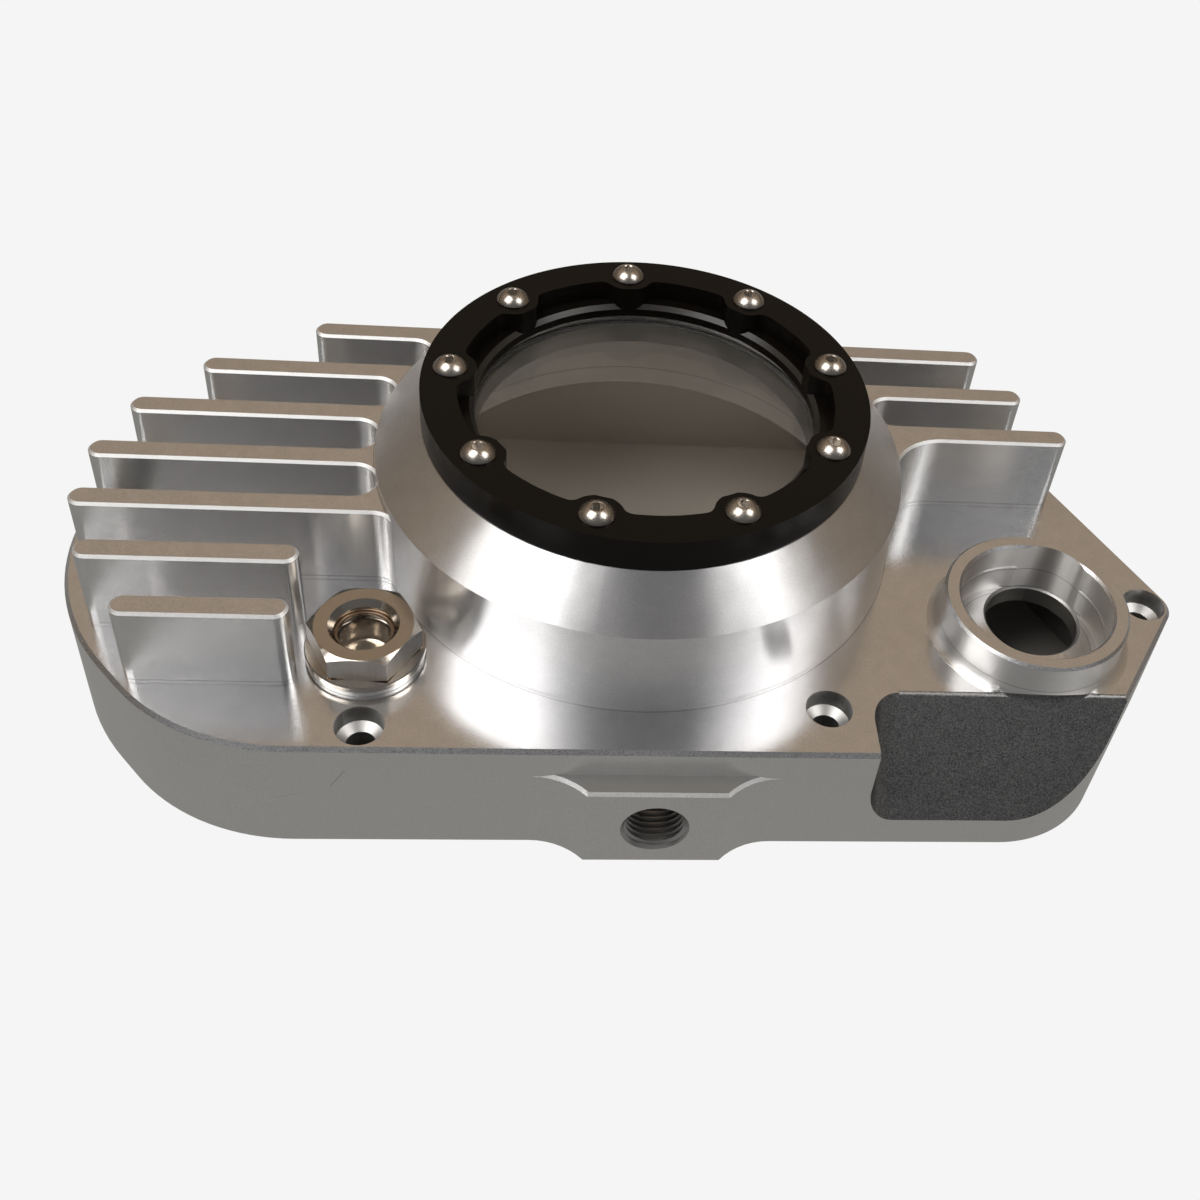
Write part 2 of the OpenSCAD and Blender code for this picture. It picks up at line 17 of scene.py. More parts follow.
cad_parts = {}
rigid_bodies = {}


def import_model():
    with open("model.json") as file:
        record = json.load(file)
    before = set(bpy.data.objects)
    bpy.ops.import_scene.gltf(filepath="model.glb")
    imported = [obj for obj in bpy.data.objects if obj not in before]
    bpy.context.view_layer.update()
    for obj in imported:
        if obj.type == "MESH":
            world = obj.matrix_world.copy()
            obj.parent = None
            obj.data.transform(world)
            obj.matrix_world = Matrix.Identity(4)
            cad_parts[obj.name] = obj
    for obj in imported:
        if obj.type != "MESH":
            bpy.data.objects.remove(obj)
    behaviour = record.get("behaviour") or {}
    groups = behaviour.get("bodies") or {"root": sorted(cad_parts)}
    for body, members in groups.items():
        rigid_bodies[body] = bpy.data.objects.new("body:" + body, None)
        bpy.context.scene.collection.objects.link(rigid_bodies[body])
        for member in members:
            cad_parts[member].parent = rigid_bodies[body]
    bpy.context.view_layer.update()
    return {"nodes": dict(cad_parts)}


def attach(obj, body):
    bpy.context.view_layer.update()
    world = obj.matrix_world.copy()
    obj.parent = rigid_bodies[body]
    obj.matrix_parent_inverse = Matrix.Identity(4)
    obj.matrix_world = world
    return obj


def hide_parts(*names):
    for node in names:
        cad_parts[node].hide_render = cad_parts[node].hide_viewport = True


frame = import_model()

LOG = logging.getLogger("clutch_cover")
MM = 0.001
BODY = "root"
PHOTO_SIDE = 1200
MERGE_DISTANCE = 0.000001

Point = tuple[float, float]
Outline = list[Point] | tuple[Point, ...]
Place = tuple[float, float, float]
Color = tuple[float, float, float]
Rgba = tuple[float, float, float, float]
Socket = bpy.types.NodeSocket
Term = Socket | float | tuple[float, ...]


class Slot(Enum):
    """Names of the record's material slots."""

    ALUMINIUM = "machined_aluminium"
    BLACK = "black_anodised"
    CLEAR = "clear_disc"
    RUBBER = "seal_rubber"
    STAINLESS = "stainless"


class Zone(Enum):
    """Machined areas of the shell, each with the finish that its last tool left; the inside's darker tone is
    painted shade, and the brighter tones of the boss and the fin bevels are painted highlights.
    """

    DECK = 0
    SIDE = 1
    TURNED = 2
    EDGE = 3
    ROUGH = 4
    BOSS = 5
    FIN = 6
    INSIDE = 7
    FIN_EDGE = 8


def polar(radius: float, angle: float, centre: Point = (0.0, 0.0)) -> Point:
    """Gives the point at a distance and an angle in radians from a centre."""
    return centre[0] + radius * math.cos(angle), centre[1] + radius * math.sin(angle)


def arc(centre: Point, radius: float, first: float, last: float, steps: int) -> list[Point]:
    """Gives the points of an arc between two angles in radians, both ends included."""
    return [polar(radius, first + (last - first) * k / steps, centre) for k in range(steps + 1)]


def deselect_all() -> None:
    """Clears the selection, because operators act on all that is selected."""
    for thing in bpy.context.view_layer.objects:
        thing.select_set(False)


def make_active(piece: bpy.types.Object) -> None:
    """Selects one object alone and makes it active.

    Args:
        piece: The object that the next operators act on.
    """
    deselect_all()
    piece.select_set(True)
    bpy.context.view_layer.objects.active = piece


def named(name: str) -> bpy.types.Object:
    """Names the object that an operator has just added, and its mesh.

    Args:
        name: The name.

    Returns:
        The object.
    """
    piece = bpy.context.active_object
    piece.name = piece.data.name = name
    return piece


def start_editing() -> None:
    """Opens the active object's mesh with all of it selected."""
    bpy.ops.object.mode_set(mode="EDIT")
    bpy.ops.mesh.select_all(action="SELECT")


def stop_editing(fill: bool = False) -> None:
    """Turns the edited mesh's faces outwards and closes it.

    Args:
        fill: Whether open ends are filled first.
    """
    bpy.ops.mesh.select_all(action="SELECT")
    if fill:
        bpy.ops.mesh.fill_holes(sides=0)
        bpy.ops.mesh.select_all(action="SELECT")
    bpy.ops.mesh.normals_make_consistent(inside=False)
    bpy.ops.object.mode_set(mode="OBJECT")


def apply_modifier(piece: bpy.types.Object, kind: str, **settings: object) -> None:
    """Adds a modifier to an object and applies it.

    Args:
        piece: The object to change.
        kind: Blender's modifier type, such as BEVEL.
        **settings: Values for the modifier's properties.
    """
    modifier = piece.modifiers.new(kind.lower(), kind)
    for name, value in settings.items():
        setattr(modifier, name, value)
    make_active(piece)
    bpy.ops.object.modifier_apply(modifier=modifier.name)


def settle(piece: bpy.types.Object) -> None:
    """Moves a finished object's place into its mesh, so that the object sits at the origin."""
    make_active(piece)
    bpy.ops.object.transform_apply(location=True, rotation=True, scale=True)


def smooth(piece: bpy.types.Object, angle: float = 30.0) -> None:
    """Shades an object smooth up to an angle between faces, with large flat faces kept flat.

    Args:
        piece: The object to shade.
        angle: Largest angle in degrees that still looks round.
    """
    make_active(piece)
    bpy.ops.object.shade_smooth_by_angle(angle=math.radians(angle), keep_sharp_edges=False)
    apply_modifier(piece, "WEIGHTED_NORMAL", mode="FACE_AREA", weight=50, keep_sharp=True)


def cut(piece: bpy.types.Object, tool: bpy.types.Object, way: str = "DIFFERENCE") -> None:
    """Cuts a tool out of a piece, joins it on or keeps what both share, and drops the tool.

    Args:
        piece: The object to change.
        tool: The object that cuts.
        way: DIFFERENCE, UNION or INTERSECT.
    """
    apply_modifier(piece, "BOOLEAN", object=tool, operation=way, solver="EXACT")
    bpy.data.objects.remove(tool)


def bevel(piece: bpy.types.Object, width: float, segments: int = 2, angle: float = 35.0) -> None:
    """Breaks every sharp edge of a piece.

    Args:
        piece: The object to change.
        width: Width of the bevel in millimetres.
        segments: Number of faces across the bevel.
        angle: Smallest angle in degrees that counts as an edge.
    """
    apply_modifier(piece, "BEVEL", width=width * MM, segments=segments, limit_method="ANGLE",
                   angle_limit=math.radians(angle), use_clamp_overlap=True)


def turned(name: str, outline: Outline, steps: int, closed: bool = False) -> bpy.types.Object:
    """Turns an outline round the Z axis: one circle, extruded and scaled from point to point.

    Args:
        name: Name of the new object.
        outline: Radius and height of each point, in millimetres.
        steps: Number of corners round the axis.
        closed: Whether the outline runs back to its first point. Otherwise both ends are filled.

    Returns:
        The new object.
    """
    deselect_all()
    radius, height = outline[0]
    bpy.ops.mesh.primitive_circle_add(vertices=steps, radius=radius * MM, fill_type="NOTHING")
    piece = named(name)
    start_editing()
    bpy.ops.transform.translate(value=(0, 0, height * MM))
    for next_radius, next_height in [*outline[1:], *(outline[:1] if closed else ())]:
        bpy.ops.mesh.extrude_region_move(
            TRANSFORM_OT_translate={"value": (0, 0, (next_height - height) * MM)})
        grow = next_radius / radius
        bpy.ops.transform.resize(value=(grow, grow, 1), center_override=(0, 0, 0))
        radius, height = next_radius, next_height
    bpy.ops.mesh.select_all(action="SELECT")
    bpy.ops.mesh.remove_doubles(threshold=MERGE_DISTANCE)
    stop_editing(fill=not closed)
    return piece


def rod(name: str, radius: float, low: float, high: float, steps: int) -> bpy.types.Object:
    """Makes an upright rod with a number of sides, between two heights in millimetres."""
    return turned(name, ((radius, low), (radius, high)), steps)


def tube(name: str, radii: Point, heights: Point, steps: int) -> bpy.types.Object:
    """Makes an upright tube between two radii and two heights in millimetres."""
    (inner, outer), (low, high) = radii, heights
    return turned(name, ((inner, low), (outer, low), (outer, high), (inner, high)), steps, closed=True)


def pane(name: str, radius: float, heights: Point, edge: float, steps: int) -> bpy.types.Object:
    """Makes a disc between two heights, with both rims bevelled by an edge in millimetres."""
    low, high = heights
    rim = radius - edge
    return turned(name, ((rim, low), (radius, low + edge), (radius, high - edge), (rim, high)), steps)


def prism(name: str, corners: list[Point], low: float, high: float) -> bpy.types.Object:
    """Raises a flat outline to an upright prism.

    Args:
        name: Name of the new object.
        corners: Corners of the outline in millimetres, counterclockwise.
        low: Height of its lower face in millimetres.
        high: Height of its upper face in millimetres.

    Returns:
        The new object.
    """
    deselect_all()
    bpy.ops.mesh.primitive_circle_add(vertices=len(corners), radius=1, fill_type="NGON")
    piece = named(name)
    for vertex, (x, y) in zip(piece.data.vertices, corners):
        vertex.co = (x * MM, y * MM, low * MM)
    start_editing()
    bpy.ops.mesh.extrude_region_move(TRANSFORM_OT_translate={"value": (0, 0, (high - low) * MM)})
    stop_editing()
    return piece


def place(piece: bpy.types.Object, x: float, y: float, z: float = 0.0, turn: float = 0.0) -> bpy.types.Object:
    """Turns an object round its upright axis, moves it, and settles it.

    Args:
        piece: The object to move.
        x: Way along X in millimetres.
        y: Way along Y in millimetres.
        z: Way along Z in millimetres.
        turn: Angle in degrees.

    Returns:
        The same object.
    """
    piece.location = (x * MM, y * MM, z * MM)
    piece.rotation_euler = (0, 0, math.radians(turn))
    settle(piece)
    return piece


def dress(piece: bpy.types.Object, *materials: bpy.types.Material) -> None:
    """Gives a piece its materials in place of those that it has."""
    piece.data.materials.clear()
    for material in materials:
        piece.data.materials.append(material)


def hand_in(piece: bpy.types.Object, node: str) -> None:
    """Ties a finished and dressed piece to the frame and reports it.

    Args:
        piece: The finished object.
        node: The node of the frame that it stands for.
    """
    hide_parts(node)
    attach(piece, BODY)
    LOG.info("%s made for %s", piece.name, node)


class Wiring:
    """Adds and joins the nodes of one material, node group or world."""

    def __init__(self, tree: bpy.types.NodeTree) -> None:
        """Takes the tree that the nodes go into."""
        self.tree = tree

    def feed(self, node: bpy.types.Node, inputs: dict[str | int, Term]) -> None:
        """Fills a node's inputs.

        Args:
            node: The node.
            inputs: For each input, by name or number, its value or the socket to join to it.
        """
        for key, term in inputs.items():
            if isinstance(term, Socket):
                self.tree.links.new(term, node.inputs[key])
            else:
                node.inputs[key].default_value = term

    def node(self, kind: str, inputs: dict[str | int, Term] | None = None,
             **settings: object) -> bpy.types.Node:
        """Adds a node.

        Args:
            kind: Blender's node type.
            inputs: Values or sockets for its inputs.
            **settings: Values for the node's properties.

        Returns:
            The new node.
        """
        made = self.tree.nodes.new(kind)
        for name, value in settings.items():
            setattr(made, name, value)
        self.feed(made, inputs or {})
        return made

    def group(self, effect: bpy.types.NodeTree, inputs: dict[str | int, Term]) -> Socket:
        """Places an effect's node group and gives its result."""
        return self.node("ShaderNodeGroup", inputs, node_tree=effect).outputs[0]

    def math(self, operation: str, *terms: Term, clamp: bool = False) -> Socket:
        """Works out one step of arithmetic on values."""
        inputs = dict(enumerate(terms))
        return self.node("ShaderNodeMath", inputs, operation=operation, use_clamp=clamp).outputs[0]

    def vector(self, operation: str, *terms: Term) -> Socket:
        """Works out one step of arithmetic on vectors, whose result is a vector or one number."""
        made = self.node("ShaderNodeVectorMath", dict(enumerate(terms)), operation=operation)
        return made.outputs["Value" if operation in ("LENGTH", "DISTANCE", "DOT_PRODUCT") else "Vector"]

    def scaled(self, vector: Term, share: Term) -> Socket:
        """Multiplies a vector or a colour by a value."""
        made = self.node("ShaderNodeVectorMath", {0: vector, "Scale": share}, operation="SCALE")
        return made.outputs["Vector"]

    def spread(self, value: Socket, given: Point, wanted: Point = (0.0, 1.0), soft: bool = False) -> Socket:
        """Spreads one range of a value over another.

        Args:
            value: The value.
            given: The range that it is read in.
            wanted: The range that comes out.
            soft: Whether the result runs softly into its ends.

        Returns:
            The result.
        """
        inputs = {"Value": value, "From Min": given[0], "From Max": given[1],
                  "To Min": wanted[0], "To Max": wanted[1]}
        ramp = "SMOOTHSTEP" if soft else "LINEAR"
        return self.node("ShaderNodeMapRange", inputs, interpolation_type=ramp).outputs["Result"]

    def noise(self, vector: Socket, scale: Term, detail: float = 2.0, distortion: float = 0.0) -> Socket:
        """Adds a cloudy pattern.

        Args:
            vector: Coordinates.
            scale: Number of clouds in a metre.
            detail: Number of finer layers.
            distortion: How much the clouds are twisted.

        Returns:
            The pattern's value.
        """
        inputs = {"Vector": vector, "Scale": scale, "Detail": detail, "Distortion": distortion}
        return self.node("ShaderNodeTexNoise", inputs).outputs["Fac"]

    def split(self, vector: Socket) -> bpy.types.NodeOutputs:
        """Takes a vector apart into X, Y and Z."""
        return self.node("ShaderNodeSeparateXYZ", {"Vector": vector}).outputs

    def blend(self, share: Socket, first: Rgba, second: Rgba) -> Socket:
        """Blends two colours."""
        inputs = {"Factor": share, 6: first, 7: second}
        return self.node("ShaderNodeMix", inputs, data_type="RGBA").outputs[2]

    def choose(self, rays: str, shader: Socket, other: Socket, end: str = "Material Output") -> None:
        """Sends the rays of one kind to another shader and joins the result to the output.

        Args:
            rays: The Light Path output that picks the rays.
            shader: What all the other rays meet.
            other: What these rays meet.
            end: Name of the output node.
        """
        path = self.node("ShaderNodeLightPath").outputs[rays]
        choice = self.node("ShaderNodeMixShader", {0: path, 1: shader, 2: other})
        self.feed(self.tree.nodes[end], {"Surface": choice.outputs["Shader"]})


def new_material(name: str) -> tuple[bpy.types.Material, Wiring, bpy.types.Node]:
    """Makes a material with a plain shader.

    Args:
        name: Name of the material.

    Returns:
        The material, its wiring and its shader.
    """
    material = bpy.data.materials.new(name)
    material.use_nodes = True
    return material, Wiring(material.node_tree), material.node_tree.nodes["Principled BSDF"]


class EffectGroup(Wiring):
    """A shader node group with one result, built once and placed wherever it is needed."""

    def __init__(self, name: str, result: str, vectors: tuple[str, ...], values: tuple[str, ...]) -> None:
        """Makes the empty group with its sockets.

        Args:
            name: Name of the group.
            result: Name of its output.
            vectors: Names of the inputs that take a vector.
            values: Names of the inputs that take a value.
        """
        super().__init__(bpy.data.node_groups.new(name, "ShaderNodeTree"))
        for socket in vectors:
            self.tree.interface.new_socket(socket, in_out="INPUT", socket_type="NodeSocketVector")
        for socket in values:
            self.tree.interface.new_socket(socket, in_out="INPUT", socket_type="NodeSocketFloat")
        self.tree.interface.new_socket(result, in_out="OUTPUT", socket_type="NodeSocketFloat")
        self.given = self.tree.nodes.new("NodeGroupInput").outputs
        self.end = self.tree.nodes.new("NodeGroupOutput")

    def line(self, gap: Socket, half_width: float) -> bpy.types.NodeTree:
        """Ends the group with a line that is 1 where a gap is 0 and fades over its half width."""
        return self.give(self.math("SUBTRACT", 1.0, self.math("DIVIDE", gap, half_width), clamp=True))

    def give(self, result: Socket) -> bpy.types.NodeTree:
        """Joins the group's result and gives the group."""
        self.feed(self.end, {0: result})
        return self.tree


class Effects:
    """The effects that several finishes share, with their sizes in metres."""

    BROAD_MARKS = 250.0
    SMUDGES = 18.0
    SMUDGE_RANGE = (0.42, 0.72)
    SCRATCH_HALF_WIDTH = 0.00015
    CORNER_HALF_WIDTH = 0.00016

    def __init__(self) -> None:
        """Builds every group once."""
        self.tool_marks = self._tool_marks()
        self.handling = self._handling()
        self.corner_line = self._corner_line()
        self.scratch = self._scratch()

    def _tool_marks(self) -> bpy.types.NodeTree:
        """Makes the fine marks that a cutter leaves, with broader ones mixed in."""
        group = EffectGroup("tool_marks", "Streaks", ("Vector",), ("Fine", "Broad Share"))
        given = group.given
        fine = group.noise(given["Vector"], given["Fine"], detail=3.0)
        broad = group.noise(given["Vector"], self.BROAD_MARKS)
        inputs = {"Factor": given["Broad Share"], 2: fine, 3: broad}
        return group.give(group.node("ShaderNodeMix", inputs, data_type="FLOAT").outputs[0])

    def _handling(self) -> bpy.types.NodeTree:
        """Makes faint smudges from handling: 0 on clean metal and the amount in a smudge."""
        group = EffectGroup("handling", "Smudge", ("Vector",), ("Amount",))
        cloud = group.noise(group.given["Vector"], self.SMUDGES, detail=4.0, distortion=0.6)
        smudge = group.spread(cloud, self.SMUDGE_RANGE)
        return group.give(group.math("MULTIPLY", smudge, group.given["Amount"]))

    def _scratch(self) -> bpy.types.NodeTree:
        """Makes a thin straight scratch from a start along a way."""
        group = EffectGroup("scratch", "Line", ("Vector", "Start", "Way"), ())
        way = group.given["Way"]
        away = group.vector("SUBTRACT", group.given["Vector"], group.given["Start"])
        along = group.vector("DOT_PRODUCT", away, way)
        share = group.math("DIVIDE", along, group.vector("DOT_PRODUCT", way, way), clamp=True)
        gap = group.vector("DISTANCE", away, group.scaled(way, share))
        return group.line(gap, self.SCRATCH_HALF_WIDTH)

    def _corner_line(self) -> bpy.types.NodeTree:
        """Makes a thin line at one distance or height, where a cutter's corner has run."""
        group = EffectGroup("corner_line", "Line", (), ("Distance", "Place"))
        off = group.math("SUBTRACT", group.given["Distance"], group.given["Place"])
        return group.line(group.math("ABSOLUTE", off), self.CORNER_HALF_WIDTH)


class Flow(Enum):
    """How tool marks run over a surface."""

    ROUND_AXIS = "round an upright axis"
    SPECKLED = "without direction"
    UPRIGHT = "up and down"


@dataclass(frozen=True)
class Scratch:
    """One straight scratch, by its start and its way in metres and the share that it darkens."""

    start: Place
    way: Place
    depth: float


@dataclass(frozen=True)
class CornerRing:
    """The line that a cutter's corner has left round an upright axis, in metres."""

    axis: Point
    radius: float


@dataclass(frozen=True)
class MetalFinish:
    """A bare or coated metal surface as its last tool left it."""

    MARK_RANGE = (0.25, 0.75)
    MARK_HEIGHT = 0.00002
    LENGTH_OF_TURN = 0.0015
    UPRIGHT_SCALE = (1.0, 1.0, 0.05)
    SMUDGE_TONE = -0.12
    SMUDGE_ROUGH = 0.08
    LINE_DEPTH = 0.55
    QUARTER_TURN = 0.25

    name: str
    color: Color
    roughness: float
    flow: Flow = Flow.SPECKLED
    metallic: float = 1.0
    centre: Point = (0.0, 0.0)
    fine: float = 4000.0
    broad_share: float = 0.3
    tone_depth: float = 0.12
    rough_depth: float = 0.08
    bump: float = 0.15
    smudge: float = 0.3
    specular: float = 0.5
    stretch: float = 0.0
    rings: tuple[CornerRing, ...] = ()
    levels: tuple[float, ...] = ()
    scratches: tuple[Scratch, ...] = ()

    def build(self, effects: Effects) -> bpy.types.Material:
        """Makes the material.

        Args:
            effects: The shared node groups.

        Returns:
            The finished material.
        """
        material, wires, shader = new_material(self.name)
        where = wires.node("ShaderNodeTexCoord").outputs["Object"]
        marks = wires.group(effects.tool_marks, {
            "Vector": self._flow_vector(wires, where), "Fine": self.fine, "Broad Share": self.broad_share})
        smudge = wires.group(effects.handling, {"Vector": where, "Amount": self.smudge})
        tone = wires.scaled(self.color, self._varied(wires, marks, smudge, 1.0, self.tone_depth,
                                                     self.SMUDGE_TONE))
        for mask, depth in self._lines(wires, effects, where):
            tone = wires.scaled(tone, wires.math("MULTIPLY_ADD", mask, -depth, 1.0))
        rough = self._varied(wires, marks, smudge, self.roughness, self.rough_depth, self.SMUDGE_ROUGH)
        bump = wires.node("ShaderNodeBump", {
            "Strength": self.bump, "Distance": self.MARK_HEIGHT, "Height": marks})
        wires.feed(shader, {
            "Metallic": self.metallic, "Specular IOR Level": self.specular, "Base Color": tone,
            "Roughness": rough, "Normal": bump.outputs["Normal"], "Anisotropic": self.stretch,
            "Anisotropic Rotation": self.QUARTER_TURN})
        if self.stretch > 0:
            wires.feed(shader, {"Tangent": self._level_tangent(wires)})
        return material

    def _flow_vector(self, wires: Wiring, where: Socket) -> Socket:
        """Turns object coordinates into coordinates that are short along the marks.

        Args:
            wires: The material's wiring.
            where: Object coordinates.

        Returns:
            The vector that the marks are drawn with.
        """
        if self.flow is Flow.SPECKLED:
            return where
        if self.flow is Flow.UPRIGHT:
            made = wires.node("ShaderNodeMapping", {"Vector": where, "Scale": self.UPRIGHT_SCALE})
            return made.outputs["Vector"]
        parts = wires.split(wires.vector("SUBTRACT", where, (*self.centre, 0.0)))
        angle = wires.math("ARCTAN2", parts["Y"], parts["X"])
        wound = wires.node("ShaderNodeCombineXYZ", {
            "X": self._distance(wires, where, self.centre), "Z": parts["Z"],
            "Y": wires.math("MULTIPLY", angle, self.LENGTH_OF_TURN)})
        return wound.outputs["Vector"]

    @staticmethod
    def _level_tangent(wires: Wiring) -> Socket:
        """Finds the level direction along a wall, which is the way that its cutter went."""
        normal = wires.node("ShaderNodeNewGeometry").outputs["Normal"]
        return wires.vector("NORMALIZE", wires.vector("CROSS_PRODUCT", (0.0, 0.0, 1.0), normal))

    @staticmethod
    def _distance(wires: Wiring, where: Socket, axis: Point) -> Socket:
        """Measures the distance from an upright axis, whose X and Y are in metres."""
        away = wires.vector("SUBTRACT", where, (*axis, 0.0))
        return wires.vector("LENGTH", wires.vector("MULTIPLY", away, (1.0, 1.0, 0.0)))

    def _varied(self, wires: Wiring, marks: Socket, smudge: Socket, middle: float, depth: float,
                rise: float) -> Socket:
        """Makes a value that follows the marks and changes in a smudge.

        Args:
            wires: The material's wiring.
            marks: The marks' mask.
            smudge: The smudges' mask.
            middle: The value on plain metal.
            depth: How far the marks take it up and down.
            rise: What a full smudge adds.

        Returns:
            The value.
        """
        plain = wires.spread(marks, self.MARK_RANGE, (middle - depth, middle + depth))
        return wires.math("MULTIPLY_ADD", smudge, rise, plain)

    def _lines(self, wires: Wiring, effects: Effects, where: Socket) -> list[tuple[Socket, float]]:
        """Draws the lines of cutter corners and the scratches.

        Args:
            wires: The material's wiring.
            effects: The shared node groups.
            where: Object coordinates.

        Returns:
            The mask of each line and the share of the colour that it takes away.
        """
        gaps = [(self._distance(wires, where, ring.axis), ring.radius) for ring in self.rings]
        gaps += [(wires.split(where)["Z"], level) for level in self.levels]
        lines = [(wires.group(effects.corner_line, {"Distance": gap, "Place": size}), self.LINE_DEPTH)
                 for gap, size in gaps]
        return lines + [(wires.group(effects.scratch, {"Vector": where, "Start": mark.start,
                                                       "Way": mark.way}), mark.depth)
                        for mark in self.scratches]


@dataclass(frozen=True)
class ClearFinish:
    """A clear, slightly smudged surface that lets shadow rays through."""

    name: str
    color: Color
    roughness: float
    ior: float
    clouds: float = 60.0

    def build(self) -> bpy.types.Material:
        """Makes the material.

        Returns:
            The finished material.
        """
        material, wires, shader = new_material(self.name)
        where = wires.node("ShaderNodeTexCoord").outputs["Object"]
        wanted = (self.roughness * 0.5, self.roughness * 1.5)
        wires.feed(shader, {
            "Transmission Weight": 1.0, "IOR": self.ior, "Base Color": (*self.color, 1.0),
            "Roughness": wires.spread(wires.noise(where, self.clouds), (0.0, 1.0), wanted)})
        open_way = wires.node("ShaderNodeBsdfTransparent", {"Color": (*self.color, 1.0)})
        wires.choose("Is Shadow Ray", shader.outputs["BSDF"], open_way.outputs["BSDF"])
        return material


ALUMINIUM_TONE = (0.78, 0.78, 0.79)
CLUTCH_AXIS = (0.0, 0.0)
BOSS_AXIS = (0.0895, -0.0343)
WALL_SCRATCHES = (Scratch((-0.0647, -0.0717, 0.0187), (0.0032, 0.0, 0.0051), 0.45),
                  Scratch((-0.0881, -0.0717, 0.0109), (0.0161, 0.0, 0.0050), 0.25))
SHELL_FINISHES = {
    Zone.DECK: MetalFinish("aluminium_milled_deck", ALUMINIUM_TONE, 0.2, fine=3000.0,
                           rough_depth=0.03, bump=0.18, smudge=0.15,
                           rings=(CornerRing(CLUTCH_AXIS, 0.0606), CornerRing(BOSS_AXIS, 0.0158))),
    Zone.SIDE: MetalFinish("aluminium_milled_side", (0.74, 0.74, 0.73), 0.33, fine=3600.0,
                           broad_share=0.08, rough_depth=0.04, bump=0.2, smudge=0.12,
                           scratches=WALL_SCRATCHES),
    Zone.TURNED: MetalFinish("aluminium_turned", ALUMINIUM_TONE, 0.3, fine=3200.0,
                             rough_depth=0.02, smudge=0.1, stretch=0.9),
    Zone.EDGE: MetalFinish("aluminium_edge_break", (0.66, 0.66, 0.67), 0.32, fine=3200.0,
                           broad_share=0.05, tone_depth=0.3, bump=0.3),
    # Near-white tone of the fin bevels: a painted highlight standing in for the white lines that light draws
    # on them.
    Zone.FIN_EDGE: MetalFinish("aluminium_fin_edge_painted_highlight", (0.95, 0.95, 0.95), 0.5, fine=3600.0,
                               broad_share=0.05, bump=0.2, smudge=0.1),
    Zone.ROUGH: MetalFinish("aluminium_rough_milled", (0.27, 0.27, 0.27), 0.42, fine=2800.0,
                            broad_share=0.1, tone_depth=0.6, bump=0.6),
    # Boss tone brighter than the other aluminium: a painted highlight that lifts the bright bands on its
    # wall.
    Zone.BOSS: MetalFinish("aluminium_boss_turned_painted_highlight", (0.9, 0.89, 0.88), 0.38, Flow.ROUND_AXIS,
                           centre=BOSS_AXIS, fine=3500.0, tone_depth=0.04, rough_depth=0.01,
                           bump=0.02, smudge=0.05, stretch=1.0, levels=(0.0333,)),
    Zone.FIN: MetalFinish("aluminium_fin_side", (0.7, 0.7, 0.7), 0.26, fine=3200.0, tone_depth=0.1,
                          rough_depth=0.01, bump=0.1, smudge=0.08, stretch=0.92, levels=(0.0312,)),
    # Darker tone of the holes, the hollow and the port: painted shade in these recesses.
    Zone.INSIDE: MetalFinish("aluminium_inside_painted_shade", (0.47, 0.465, 0.46), 0.4, tone_depth=0.06,
                             rough_depth=0.02, bump=0.05, smudge=0.1),
}
PIECE_FINISHES = (
    MetalFinish("black_anodised", (0.0045, 0.0036, 0.0028), 0.24, metallic=0.0, specular=0.14,
                rough_depth=0.03, tone_depth=0.05, bump=0.03, smudge=0.2),
    # Lighter, shinier black for the ring's bevels: a painted glint along its edges.
    MetalFinish("black_anodised_edge_glint", (0.022, 0.02, 0.018), 0.3, metallic=0.0, specular=0.4,
                rough_depth=0.03, tone_depth=0.1, bump=0.05),
    MetalFinish("stainless_screw", (0.47, 0.43, 0.385), 0.25, tone_depth=0.08, bump=0.05),
    MetalFinish("stainless_flats", (0.5, 0.475, 0.45), 0.34, Flow.UPRIGHT, fine=3000.0,
                tone_depth=0.14, bump=0.05),
    MetalFinish("stainless_turned", (0.56, 0.51, 0.45), 0.16, tone_depth=0.05, bump=0.05),
    MetalFinish("washer_aluminium", (0.7, 0.69, 0.67), 0.3),
    # Brown tone of the sight's retaining clip: a painted orange-brown reflection.
    MetalFinish("retainer_brown_painted_reflection", (0.3, 0.22, 0.16), 0.3),
    MetalFinish("seal_rubber", (0.03, 0.03, 0.03), 0.6, metallic=0.0),
)
CLEAR_FINISH = ClearFinish("clear_disc", (0.97, 0.96, 0.94), 0.01, 1.49)


@dataclass
class ShellSizes:
    """Sizes of the shell, in millimetres, that tell its machined areas apart."""

    deck_z: float = 30.6
    fin_top_z: float = 50.8
    cone_low_z: float = 51.8
    seat_z: float = 62.3
    drum_r: float = 60.3
    seat_r: float = 49.9
    front_wall: float = 71.7
    front_skin: float = 2.0
    wall_r: float = 55.0
    boss: Point = (89.5, -34.3)
    boss_reach: float = 24.0
    boss_low_z: float = 27.0
    foot: float = 3.2
    edge_height: float = 1.5
    cut_x: float = 49.5
    cut_low_z: float = 8.2
    cut_top: float = 54.0
    cut_strip: float = 1.2
    cut_r: float = 6.5
    cut_over: float = 0.5
    cutter_gap: float = 1.0
    cutter_length: float = 60.0
    cutter_reach: float = 12.0
    cutter_depth: float = 8.0
    cutter_lift: float = 0.02
    port: Place = (2.95, -76.75, 11.35)
    port_end: float = 60.0
    port_r: float = 6.2
    thread_r: float = 7.0
    thread_start: float = 0.4
    thread_steps: int = 48
    pitch: float = 1.5
    thread_turns: int = 9
    near: float = 0.1
    around: float = 0.5


